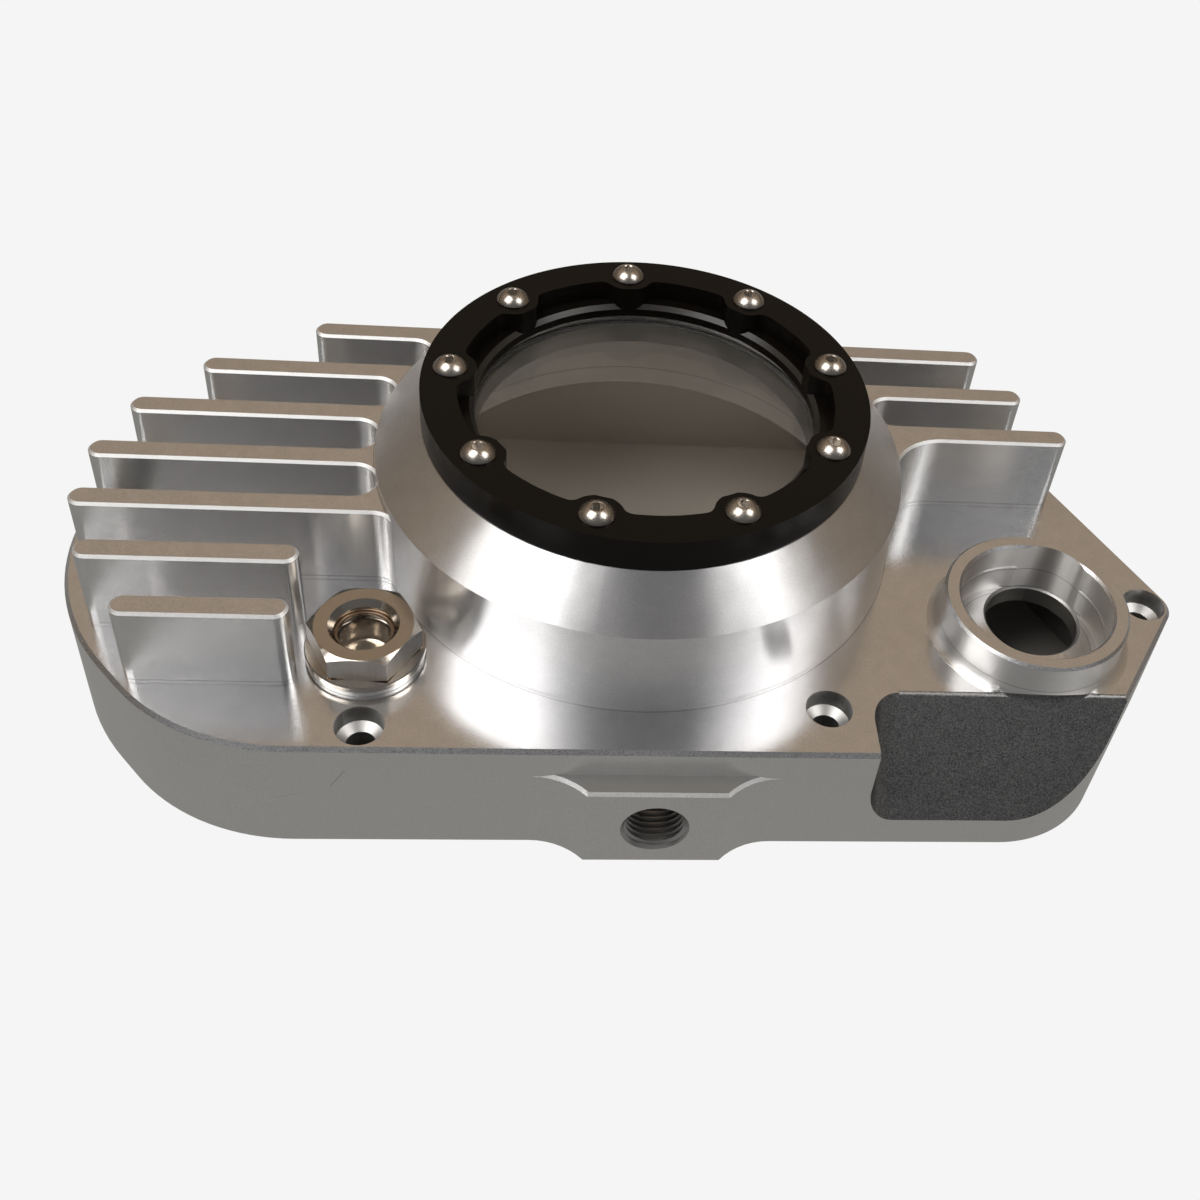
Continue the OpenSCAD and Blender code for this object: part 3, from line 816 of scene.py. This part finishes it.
@dataclass
class Shell:
    """The machined shell: a merged copy of its solid, with a finish on each machined area."""

    FLAT_ANGLE = 0.3
    LEVEL = 0.99
    SLOPING = (0.2, 0.95)
    CUT_SLOPE = (0.5, 0.7)
    CUT_FRONT = -0.7
    CORNER_SIDE = 0.02
    PORT_FACE = -0.9
    FLANK_SHARE = 0.42
    CREST_SHARE = 0.08

    effects: Effects
    sizes: ShellSizes = field(default_factory=ShellSizes)

    def build(self) -> bpy.types.Object:
        """Makes the finished shell.

        Returns:
            The shell's object.
        """
        source = frame["nodes"]["cover_body"]
        piece = source.copy()
        piece.data = source.data.copy()
        piece.name = piece.data.name = "shell"
        for key in list(piece.keys()):
            del piece[key]
        piece.parent = None
        bpy.context.scene.collection.objects.link(piece)
        make_active(piece)
        bpy.ops.mesh.customdata_custom_splitnormals_clear()
        start_editing()
        bpy.ops.mesh.remove_doubles(threshold=2 * MERGE_DISTANCE)
        bpy.ops.mesh.dissolve_limited(angle_limit=math.radians(self.FLAT_ANGLE))
        bpy.ops.object.mode_set(mode="OBJECT")
        cut(piece, self._cutter_end())
        cut(piece, self._thread())
        dress(piece, *(SHELL_FINISHES[zone].build(self.effects) for zone in Zone))
        for face in piece.data.polygons:
            face.material_index = self._zone(face.center / MM, face.normal).value
        smooth(piece)
        hand_in(piece, "cover_body")
        return piece

    def _cutter_end(self) -> bpy.types.Object:
        """Models the sloping cut's top end, which trims the boss's foot at right angles to the slope.

        Returns:
            The tool.
        """
        s = self.sizes
        rise = math.atan2(s.deck_z - s.cut_low_z, s.front_wall - s.cut_top)
        length, reach, depth = s.cutter_length, s.cutter_reach, s.cutter_depth
        top = Vector((s.cut_x + s.cut_r + s.cutter_gap + length / 2, -s.cut_top, s.deck_z))
        middle = Vector((0, (s.cut_over - reach) / 2, depth / 2 + s.cutter_lift))
        bpy.ops.mesh.primitive_cube_add(size=1)
        tool = bpy.context.active_object
        tool.scale = Vector((length, s.cut_over + reach, depth)) * MM
        tool.rotation_euler = (rise, 0, 0)
        tool.location = (top + Matrix.Rotation(rise, 3, "X") @ middle) * MM
        settle(tool)
        return tool

    def _thread(self) -> bpy.types.Object:
        """Models the port's thread as the helix that its tap cuts away.

        Returns:
            The tool.
        """
        s = self.sizes
        deselect_all()
        bpy.ops.mesh.primitive_circle_add(vertices=4, radius=1, fill_type="NOTHING")
        tool = bpy.context.active_object
        flank, crest = s.pitch * self.FLANK_SHARE, s.pitch * self.CREST_SHARE
        root = s.port_r - s.near
        corners = ((root, -flank), (s.thread_r, -crest), (s.thread_r, crest), (root, flank))
        for vertex, (radius, height) in zip(tool.data.vertices, corners):
            vertex.co = (radius * MM, 0, height * MM)
        apply_modifier(tool, "SCREW", angle=2 * math.pi, screw_offset=s.pitch * MM, axis="Z",
                       iterations=s.thread_turns, steps=s.thread_steps, render_steps=s.thread_steps)
        start_editing()
        stop_editing(fill=True)
        tool.rotation_euler = (-math.pi / 2, 0, 0)
        tool.location = (s.port[0] * MM, (s.port[1] + s.thread_start) * MM, s.port[2] * MM)
        settle(tool)
        return tool

    def _zone(self, centre: Vector, normal: Vector) -> Zone:
        """Tells which machined area a face belongs to.

        Args:
            centre: The face's centre in millimetres.
            normal: The face's normal.

        Returns:
            The area.
        """
        s = self.sizes
        level = normal.z > self.LEVEL
        radius = math.hypot(centre.x, centre.y)
        outward = normal.x * centre.x + normal.y * centre.y > 0
        to_boss = math.hypot(centre.x - s.boss[0], centre.y - s.boss[1])
        if self._in_port(centre, normal):
            return Zone.INSIDE
        if self._on_cut(centre, normal):
            return Zone.ROUGH
        if self.SLOPING[0] < normal.z < self.SLOPING[1]:
            return self._sloping_zone(centre, radius, to_boss)
        if to_boss < s.boss_reach and centre.z > s.boss_low_z:
            return Zone.DECK if level else Zone.BOSS
        if level and (abs(centre.z - s.deck_z) < s.near or abs(centre.z - s.fin_top_z) < s.near):
            return Zone.DECK
        on_drum = centre.z > s.deck_z and abs(radius - s.drum_r) < 3 * s.near and outward
        if on_drum or abs(centre.z - s.seat_z) < s.near:
            return Zone.TURNED
        if s.deck_z < centre.z < s.fin_top_z:
            return Zone.FIN
        if radius > s.wall_r and outward and centre.z < s.deck_z:
            return Zone.SIDE
        return Zone.INSIDE

    def _in_port(self, centre: Vector, normal: Vector) -> bool:
        """Tells whether a face belongs to the port's hole or thread.

        Args:
            centre: The face's centre in millimetres.
            normal: The face's normal.

        Returns:
            Whether it does.
        """
        s = self.sizes
        from_axis = math.hypot(centre.x - s.port[0], centre.z - s.port[2])
        deep = s.port_end < -centre.y < -s.port[1] - s.near
        return deep and from_axis < s.thread_r + s.around and normal.y > self.PORT_FACE

    def _on_cut(self, centre: Vector, normal: Vector) -> bool:
        """Tells whether a face belongs to the rough sloping cut or to its rounded corner.

        Args:
            centre: The face's centre in millimetres.
            normal: The face's normal.

        Returns:
            Whether it does.
        """
        s = self.sizes
        if centre.x <= s.cut_x - s.near or not s.cut_low_z - s.near < centre.z < s.deck_z - s.near:
            return False
        run = (s.front_wall - s.cut_top) / (s.deck_z - s.cut_low_z)
        out = -centre.y - s.cut_top - (s.deck_z - centre.z) * run
        facing = self.CUT_SLOPE[0] < normal.z < self.CUT_SLOPE[1] and normal.y < self.CUT_FRONT
        in_corner = (centre.x < s.cut_x + s.cut_r + s.near and normal.x > self.CORNER_SIDE
                     and out > -2 * s.near and -centre.y < s.front_wall - 3 * s.near)
        return in_corner or (facing and abs(out) < 2 * s.near)

    def _sloping_zone(self, centre: Vector, radius: float, to_boss: float) -> Zone:
        """Tells which machined area a bevel, a cone or a rounded foot belongs to.

        Args:
            centre: The face's centre in millimetres.
            radius: Its distance from the clutch axis.
            to_boss: Its distance from the boss's axis.

        Returns:
            The area.
        """
        s = self.sizes
        low = centre.z < s.deck_z - s.edge_height
        if s.seat_r < radius < s.drum_r + s.around and centre.z > s.cone_low_z:
            return Zone.TURNED
        if to_boss < s.boss_reach + s.around and s.deck_z < centre.z < s.deck_z + s.foot:
            return Zone.BOSS
        at_cut = centre.x > s.cut_x and abs(-centre.y - s.cut_top) < s.cut_strip
        if at_cut and abs(centre.z - s.deck_z) < s.edge_height:
            return Zone.ROUGH
        if low and -centre.y < s.front_wall - s.front_skin:
            return Zone.INSIDE
        return Zone.FIN_EDGE if low or centre.z > s.fin_top_z - s.edge_height else Zone.EDGE


@dataclass(frozen=True)
class SoftBox:
    """One soft box, by the direction in which the object sees it."""

    name: str
    direction: Place
    side: float
    turn: float
    radiance: float


@dataclass
class Studio:
    """Pale floor, two soft boxes overhead, a warm room behind the object and a dim one in front.

    All is in metres, apart from the heights of the patch of painted shade, which are in millimetres.
    """

    floor_half: float = 4.0
    floor_z: float = -0.0004
    floor_mirror: Rgba = (0.3, 0.293, 0.28, 1.0)
    foot_painted_shade: Rgba = (0.25, 0.237, 0.22, 1.0)
    foot_rough: float = 0.9
    foot_heights: Point = (-0.3, -0.2)
    backdrop: Rgba = (0.913, 0.913, 0.913, 1.0)
    room_front: Rgba = (0.17, 0.17, 0.175, 1.0)
    room_back: Rgba = (0.36, 0.285, 0.213, 1.0)
    room_depth: Point = (-0.4, 0.2)
    room_height: Point = (0.2, 0.65)
    room_strength: Point = (0.38, 1.0)
    lamp_distance: float = 1.0
    lamp_color: Color = (1.0, 0.985, 0.96)
    boxes: tuple[SoftBox, ...] = (
        SoftBox("left_soft_box", (-0.44, -0.17, 0.88), 0.57, 15.0, 5.2),
        SoftBox("right_soft_box", (0.53, -0.185, 0.83), 0.43, 15.0, 4.4),
    )

    def build(self, outline: list[Point]) -> None:
        """Makes the floor, the lamps and the room.

        Args:
            outline: Corners of the part's foot, in millimetres.
        """
        self._floor()
        self._shade(outline)
        for box in self.boxes:
            self._lamp(box)
        self._room()

    def _floor(self) -> None:
        """Lays a pale floor that mirrors as a mid grey, as the photograph's does."""
        bpy.ops.mesh.primitive_plane_add(size=2 * self.floor_half, location=(0, 0, self.floor_z))
        floor = bpy.context.active_object
        floor.name = "floor"
        settle(floor)
        material, wires, shader = new_material("pale_floor")
        wires.tree.nodes.remove(shader)
        seen = wires.node("ShaderNodeLightPath").outputs["Is Camera Ray"]
        tone = wires.blend(seen, self.floor_mirror, self.backdrop)
        glow = wires.node("ShaderNodeEmission", {"Color": tone})
        wires.feed(wires.tree.nodes["Material Output"], {"Surface": glow.outputs["Emission"]})
        dress(floor, material)

    def _shade(self, outline: list[Point]) -> None:
        """Lays a darker patch of floor under the part, seen through its holes: painted shade on top of the
        real shadow that falls on it.

        Args:
            outline: Corners of the part's foot, in millimetres.
        """
        patch = prism("floor_shade", outline, *self.foot_heights)
        material, wires, shader = new_material("painted_shade_floor")
        wires.feed(shader, {"Base Color": self.foot_painted_shade, "Roughness": self.foot_rough})
        dress(patch, material)

    def _lamp(self, box: SoftBox) -> None:
        """Hangs one soft box that faces the object.

        Args:
            box: The soft box to hang.
        """
        light = bpy.data.lights.new(box.name, "AREA")
        light.shape = "SQUARE"
        light.size = box.side
        light.energy = box.radiance * box.side * box.side * math.pi
        light.color = self.lamp_color
        lamp = bpy.data.objects.new(box.name, light)
        bpy.context.scene.collection.objects.link(lamp)
        direction = Vector(box.direction).normalized()
        facing = direction.to_track_quat("Z", "Y").to_matrix().to_4x4()
        lamp.matrix_world = (Matrix.Translation(direction * self.lamp_distance) @ facing
                             @ Matrix.Rotation(math.radians(box.turn), 4, "Z"))

    def _room(self) -> None:
        """Lights the room: warm taupe behind the object, dim grey on the camera's side."""
        world = bpy.data.worlds.new("room")
        bpy.context.scene.world = world
        world.use_nodes = True
        wires = Wiring(world.node_tree)
        parts = wires.split(wires.node("ShaderNodeTexCoord").outputs["Generated"])
        depth = wires.spread(parts["Y"], self.room_depth, soft=True)
        height = wires.spread(parts["Z"], self.room_height, self.room_strength, soft=True)
        back = world.node_tree.nodes["Background"]
        wires.feed(back, {"Color": wires.blend(depth, self.room_front, self.room_back),
                          "Strength": height})
        plain = wires.node("ShaderNodeBackground", {"Color": self.backdrop})
        wires.choose("Is Camera Ray", back.outputs["Background"], plain.outputs["Background"],
                     "World Output")


@dataclass(frozen=True)
class CameraFit:
    """The photograph's camera, fitted to the cover's own edges."""

    focal_px: float = 1490.96
    centre_px: Point = (708.54, 557.66)
    place: Place = (-0.02519, -0.26374, 0.27306)
    right: Place = (0.9925, -0.0666, 0.1028)
    down: Place = (0.0274, -0.6974, -0.7162)
    sensor: float = 36.0
    clip_start: float = 0.01

    def build(self) -> None:
        """Makes the camera and sets it as the scene's."""
        data = bpy.data.cameras.new("camera")
        data.sensor_width = self.sensor
        data.lens = self.focal_px * self.sensor / PHOTO_SIDE
        data.shift_x = (PHOTO_SIDE / 2 - self.centre_px[0]) / PHOTO_SIDE
        data.shift_y = (self.centre_px[1] - PHOTO_SIDE / 2) / PHOTO_SIDE
        data.clip_start = self.clip_start
        camera = bpy.data.objects.new("camera", data)
        bpy.context.scene.collection.objects.link(camera)
        right = Vector(self.right).normalized()
        forward = right.cross(Vector(self.down)).normalized()
        turn = Matrix((right, right.cross(forward), -forward)).transposed()
        camera.matrix_world = Matrix.Translation(Vector(self.place)) @ turn.to_4x4()
        bpy.context.scene.camera = camera


@dataclass
class RingSizes:
    """Sizes of the window ring in millimetres, its heights above the seat."""

    seat_z: float = 62.3
    height: float = 7.7
    outer_r: float = 50.0
    pocket_r: float = 42.0
    lip_r: float = 38.3
    lip_height: float = 2.9
    lip_bevel: float = 1.0
    cone_below: float = 0.5
    cone_above: float = 0.3
    lobe_r: float = 5.9
    corner_r: float = 2.5
    screw_circle_r: float = 43.9
    screw_phase: float = 94.2
    screw_count: int = 9
    screw_hole_r: float = 2.2
    edge: float = 0.24
    steps: int = 180

    def screw_angles(self) -> list[float]:
        """Gives each screw's angle on its circle in degrees."""
        return [self.screw_phase - k * 360 / self.screw_count for k in range(self.screw_count)]

    def screw_places(self) -> list[Point]:
        """Gives X and Y of each screw in millimetres."""
        return [polar(self.screw_circle_r, math.radians(angle)) for angle in self.screw_angles()]


@dataclass
class WindowRing:
    """Black clamp ring with a lobe round each screw, milled from a turned blank."""

    EDGE_TILT = (0.15, 0.97)
    OVER = 1.0

    sizes: RingSizes = field(default_factory=RingSizes)

    def build(self, material: bpy.types.Material, edge: bpy.types.Material) -> None:
        """Makes the ring.

        Args:
            material: Its finish.
            edge: Finish of its broken edges, a lighter and shinier black that paints a glint along them.
        """
        s = self.sizes
        ring = tube("clamp_ring", (s.lip_r, s.outer_r), (0.0, s.height), s.steps)
        opening = rod("opening", s.pocket_r, s.lip_height, s.height + self.OVER, s.steps)
        cone = turned("lip_cone", (
            (s.lip_r - s.cone_below, s.lip_height - s.lip_bevel - s.cone_below),
            (s.lip_r + s.lip_bevel + s.cone_above, s.lip_height + s.cone_above)), s.steps)
        cut(opening, cone, "UNION")
        for angle in s.screw_angles():
            lobe = prism("lobe", self._lobe_outline(), -self.OVER, s.height + 2 * self.OVER)
            cut(opening, place(lobe, 0, 0, turn=angle))
        cut(ring, opening)
        for x, y in s.screw_places():
            hole = rod("hole", s.screw_hole_r, -self.OVER, s.height + self.OVER, steps=32)
            cut(ring, place(hole, x, y))
        bevel(ring, s.edge, segments=3)
        place(ring, 0, 0, s.seat_z)
        dress(ring, material, edge)
        # Tilted bevel faces take the lighter black, whose colour paints a glint on the ring's edges.
        for face in ring.data.polygons:
            face.material_index = int(self.EDGE_TILT[0] < abs(face.normal.z) < self.EDGE_TILT[1])
        smooth(ring)
        hand_in(ring, "window_ring")

    def _lobe_outline(self) -> list[Point]:
        """Draws the metal round one screw that stays, with the cutter's hollow corner on both sides.

        Returns:
            The outline's corners in millimetres, for a screw on the X axis.
        """
        s = self.sizes
        arm, circle = s.pocket_r - s.corner_r, s.screw_circle_r
        reach = s.lobe_r + s.corner_r
        apart = math.acos((arm ** 2 + circle ** 2 - reach ** 2) / (2 * arm * circle))
        hollow = polar(arm, apart)
        to_lobe = math.atan2(-hollow[1], circle - hollow[0])
        half = arc(hollow, s.corner_r, apart, to_lobe, steps=12)
        start = math.atan2(half[-1][1], half[-1][0] - circle)
        half += arc((circle, 0.0), s.lobe_r, start, math.pi, steps=16)[1:]
        outside = s.pocket_r + 3 * self.OVER
        mirrored = [(x, -y) for x, y in reversed(half[:-1])]
        return [polar(outside, -apart), polar(outside, apart), *half, *mirrored]


@dataclass
class ScrewSizes:
    """Sizes of a button-head screw in millimetres, its heights above the ring."""

    shank_r: float = 1.95
    length: float = 14.0
    head_r: float = 3.8
    head_height: float = 2.2
    straight: float = 0.35
    under_edge: float = 0.1
    flat_r: float = 1.75
    key_across: float = 2.5
    key_depth: float = 1.3
    key_over: float = 1.0
    mouth_depth: float = 0.4
    mouth_over: float = 0.5
    tip_r: float = 0.001


@dataclass
class RingScrews:
    """The ring's button-head screws, modelled once and copied."""

    ring: RingSizes
    sizes: ScrewSizes = field(default_factory=ScrewSizes)
    turns: tuple[float, ...] = (8, 41, 20, 52, 5, 33, 14, 47, 26)

    def build(self, material: bpy.types.Material) -> None:
        """Makes the screws.

        Args:
            material: Their finish.
        """
        screws = [self._screw()]
        for k in range(2, self.ring.screw_count + 1):
            make_active(screws[0])
            bpy.ops.object.duplicate(linked=False)
            screws.append(named(f"ring_screw_{k}"))
        top = self.ring.seat_z + self.ring.height
        for screw, (x, y), turn in zip(screws, self.ring.screw_places(), self.turns):
            place(screw, x, y, top, turn)
            dress(screw, material)
            hand_in(screw, "ring_screws")

    def _screw(self) -> bpy.types.Object:
        """Models one screw at the origin.

        Returns:
            The screw.
        """
        s = self.sizes
        rise = s.head_height - s.straight
        drop = (s.head_r ** 2 - s.flat_r ** 2 + rise ** 2) / (2 * rise)
        centre = s.head_height - drop
        first = math.atan2(s.straight - centre, s.head_r)
        last = math.atan2(drop, s.flat_r)
        dome = arc((0.0, centre), math.hypot(s.flat_r, drop), first, last, steps=12)[1:]
        screw = turned("ring_screw_1", [
            (s.tip_r, -s.length), (s.shank_r, -s.length), (s.shank_r, 0), (s.head_r - s.under_edge, 0),
            (s.head_r, s.under_edge), (s.head_r, s.straight), *dome, (s.tip_r, s.head_height)], steps=72)
        key_r = s.key_across / math.sqrt(3)
        cut(screw, rod("key", key_r, s.head_height - s.key_depth, s.head_height + s.key_over, steps=6))
        cut(screw, turned("mouth", ((key_r - s.mouth_depth, s.head_height - s.mouth_depth),
                                    (key_r + s.mouth_over, s.head_height + s.mouth_over)), steps=48))
        smooth(screw, angle=25)
        return screw


@dataclass
class SightSizes:
    """Sizes of the oil sight fitting in millimetres."""

    place: Point = (-59.3, -45.2)
    turn: float = -3.0
    deck_z: float = 30.6
    washer_r: float = 12.4
    washer_height: float = 1.3
    washer_gap: float = 0.15
    washer_edge: float = 0.15
    collar_r: float = 12.7
    collar_height: float = 1.6
    collar_low_edge: float = 0.2
    collar_edge: float = 0.25
    across: float = 21.0
    top_z: float = 39.6
    bevel: float = 1.5
    bevel_in: float = 0.1
    under_bevel: float = 0.75
    sink: float = 0.01
    lathe_step: float = 0.1
    lathe_past: float = 1.0
    lathe_over: float = 0.5
    lathe_taper: float = 0.001
    edge: float = 0.12
    shank_r: float = 7.9
    shank_length: float = 11.0
    mouth_r: float = 7.45
    mouth_slope: float = 1.25
    bore_r: float = 6.3
    throat_r: float = 5.4
    hole_r: float = 4.2
    flats_r: float = 8.3
    fit: float = 0.05
    lens_drop: float = 3.2
    lens_height: float = 2.6
    lens_edge: float = 0.2
    retainer_r: float = 5.55
    retainer_height: float = 0.8
    retainer_fit: float = 0.04
    retainer_lift: float = 0.02
    retainer_edge: float = 0.15
    reflector_drop: float = 11.6
    reflector_height: float = 0.8
    dish: tuple[Point, ...] = ((0.6, 0.2), (1.4, 0.3))
    window_r: float = 1.75
    window_from_middle: float = 2.35

    @property
    def lens_z(self) -> float:
        """Height of the lens's lower face."""
        return self.top_z - self.lens_drop - self.lens_height

    @property
    def plate_z(self) -> float:
        """Height of the reflector's lower face."""
        return self.top_z - self.reflector_drop - self.reflector_height


@dataclass(frozen=True)
class SightFinishes:
    """Materials of the sight fitting's pieces."""

    steel: bpy.types.Material
    flats: bpy.types.Material
    washer: bpy.types.Material
    glass: bpy.types.Material
    dark: bpy.types.Material


@dataclass
class SightFitting:
    """Hexagon sight fitting with a sealing washer, a lens held by a ring, and a reflector below."""

    UPRIGHT = 0.1
    CORNER_TURN = 30.0

    finishes: SightFinishes
    sizes: SightSizes = field(default_factory=SightSizes)

    def build(self) -> None:
        """Makes every piece of the fitting."""
        s = self.sizes
        washer = tube("sealing_washer", (s.shank_r + s.washer_gap, s.washer_r),
                      (s.deck_z, s.deck_z + s.washer_height), steps=144)
        bevel(washer, s.washer_edge, segments=3)
        dress(washer, self.finishes.washer)
        self._seat(washer, "sight_washer")
        self._body()
        top = s.lens_z + s.lens_height
        lens = pane("sight_glass", s.bore_r - s.fit, (s.lens_z, top), s.lens_edge, steps=72)
        dress(lens, self.finishes.glass)
        self._seat(lens, "sight_lens")
        clip = tube("sight_clip", (s.retainer_r, s.bore_r - s.retainer_fit),
                    (top + s.retainer_lift, top + s.retainer_height), steps=72)
        bevel(clip, s.retainer_edge)
        # The clip's brown finish is a painted reflection.
        dress(clip, self.finishes.dark)
        self._seat(clip, "sight_retainer")
        self._reflector()

    def _seat(self, piece: bpy.types.Object, node: str, angle: float = 30.0,
              turn: float = 0.0) -> None:
        """Smooths a piece that was made on the clutch axis, seats it in its place and hands it in.

        Args:
            piece: The piece.
            node: The node of the frame that it stands for.
            angle: Largest angle in degrees that still looks round.
            turn: Angle in degrees that it is turned by.
        """
        smooth(piece, angle)
        place(piece, *self.sizes.place, turn=turn)
        hand_in(piece, node)

    def _body(self) -> None:
        """Makes the fitting's body: shank, collar and a hexagon whose corners a lathe has bevelled."""
        s = self.sizes
        collar_z = s.deck_z + s.washer_height
        hex_z = collar_z + s.collar_height
        tip_z = collar_z - s.shank_length
        body = turned("sight_fitting", (
            (s.hole_r, tip_z), (s.shank_r, tip_z), (s.shank_r, collar_z),
            (s.collar_r - s.collar_low_edge, collar_z), (s.collar_r, collar_z + s.collar_low_edge),
            (s.collar_r, hex_z - s.collar_edge), (s.collar_r - s.collar_edge, hex_z),
            (s.hole_r, hex_z)), steps=144, closed=True)
        corner, flat = s.across / math.sqrt(3), s.across / 2
        head = rod("hexagon", corner, hex_z - s.sink, s.top_z, steps=6)
        place(head, 0, 0, turn=s.turn + self.CORNER_TURN)
        past, tip = corner + s.lathe_past, flat - s.bevel_in
        lathe = turned("lathe", (
            (flat - 2 * s.lathe_step, hex_z - s.lathe_over), (flat + s.lathe_step, hex_z),
            (past, hex_z + s.under_bevel), (past, s.top_z - s.bevel), (tip, s.top_z),
            (tip - s.lathe_taper, s.top_z + s.lathe_over)), steps=144)
        cut(head, lathe, "INTERSECT")
        cut(body, head, "UNION")
        bore = turned("bore", (
            (s.hole_r, 0), (s.hole_r, s.plate_z), (s.throat_r, s.plate_z), (s.throat_r, s.lens_z),
            (s.bore_r, s.lens_z), (s.bore_r, s.top_z - (s.mouth_r - s.bore_r) * s.mouth_slope),
            (s.mouth_r, s.top_z), (s.mouth_r + 1 / s.mouth_slope, s.top_z + 1)), steps=96)
        cut(body, bore)
        bevel(body, s.edge, angle=28)
        dress(body, self.finishes.steel, self.finishes.flats)
        for face in body.data.polygons:
            outside = face.center.xy.length > s.flats_r * MM and face.center.z > hex_z * MM
            face.material_index = int(outside and abs(face.normal.z) < self.UPRIGHT)
        self._seat(body, "sight_body", angle=25)

    def _reflector(self) -> None:
        """Makes the reflector: a dished plate with two windows beside a bar."""
        s = self.sizes
        rim, top = s.throat_r - s.fit, s.plate_z + s.reflector_height
        dish = [(s.throat_r - inwards, top - depth) for inwards, depth in s.dish]
        plate = turned("reflector", [(rim, s.plate_z), (rim, top), *dish], steps=72)
        for side in (-1, 1):
            window = rod("window", s.window_r, 0, s.top_z, steps=40)
            cut(plate, place(window, side * s.window_from_middle, 0))
        dress(plate, self.finishes.steel)
        self._seat(plate, "sight_reflector", turn=s.turn)


@dataclass
class WindowPane:
    """Clear disc under the ring, with the seal below its edge."""

    seat_z: float = 62.3
    disc_r: float = 41.2
    disc_height: float = 6.0
    disc_edge: float = 0.4
    seal_circle_r: float = 39.85
    seal_r: float = 0.8

    def build(self, clear: bpy.types.Material, rubber: bpy.types.Material) -> None:
        """Makes the disc and the seal.

        Args:
            clear: The disc's material.
            rubber: The seal's material.
        """
        low = self.seat_z - self.disc_height
        disc = pane("clear_disc", self.disc_r, (low, self.seat_z), self.disc_edge, steps=180)
        smooth(disc)
        dress(disc, clear)
        hand_in(disc, "window_disc")
        deselect_all()
        bpy.ops.mesh.primitive_torus_add(
            major_radius=self.seal_circle_r * MM, minor_radius=self.seal_r * MM,
            major_segments=180, minor_segments=16, location=(0, 0, (low - self.seal_r) * MM))
        seal = named("disc_seal")
        settle(seal)
        smooth(seal, angle=60)
        dress(seal, rubber)
        hand_in(seal, "window_seal")


def foot_outline(shell: bpy.types.Object, front: float) -> list[Point]:
    """Finds the convex outline of the shell's foot, behind its front wall and drawn in a little.

    Args:
        shell: The shell.
        front: Distance of the front wall from the clutch axis, in millimetres.

    Returns:
        The outline's corners in millimetres, counterclockwise.
    """
    near, drawn_in = 0.1, 0.99
    corners = [vertex.co / MM for vertex in shell.data.vertices]
    points = sorted({(round(c.x, 2), round(c.y, 2)) for c in corners if c.z < near and c.y > -front - near})
    chains = []
    for row in (points, points[::-1]):
        chain: list[Point] = []
        for p in row:
            while len(chain) > 1 and ((chain[-1][0] - chain[-2][0]) * (p[1] - chain[-2][1])
                                      <= (chain[-1][1] - chain[-2][1]) * (p[0] - chain[-2][0])):
                chain.pop()
            chain.append(p)
        chains += chain[:-1]
    return [(x * drawn_in, y * drawn_in) for x, y in chains]


def main() -> None:
    """Builds the camera, every piece in order, and the studio."""
    logging.basicConfig(level=logging.INFO, format="%(name)s: %(message)s")
    bpy.context.scene.view_settings.view_transform = "Standard"
    CameraFit().build()
    effects = Effects()
    shell = Shell(effects).build()
    Studio().build(foot_outline(shell, ShellSizes().front_wall))
    made = {finish.name: finish.build(effects) for finish in PIECE_FINISHES}
    clear = CLEAR_FINISH.build()
    ring = RingSizes()
    WindowRing(ring).build(made["black_anodised"], made["black_anodised_edge_glint"])
    RingScrews(ring).build(made["stainless_screw"])
    WindowPane().build(clear, made["seal_rubber"])
    SightFitting(SightFinishes(steel=made["stainless_turned"], flats=made["stainless_flats"],
                               washer=made["washer_aluminium"], glass=clear,
                               dark=made["retainer_brown_painted_reflection"])).build()


if __name__ == "__main__":
    main()
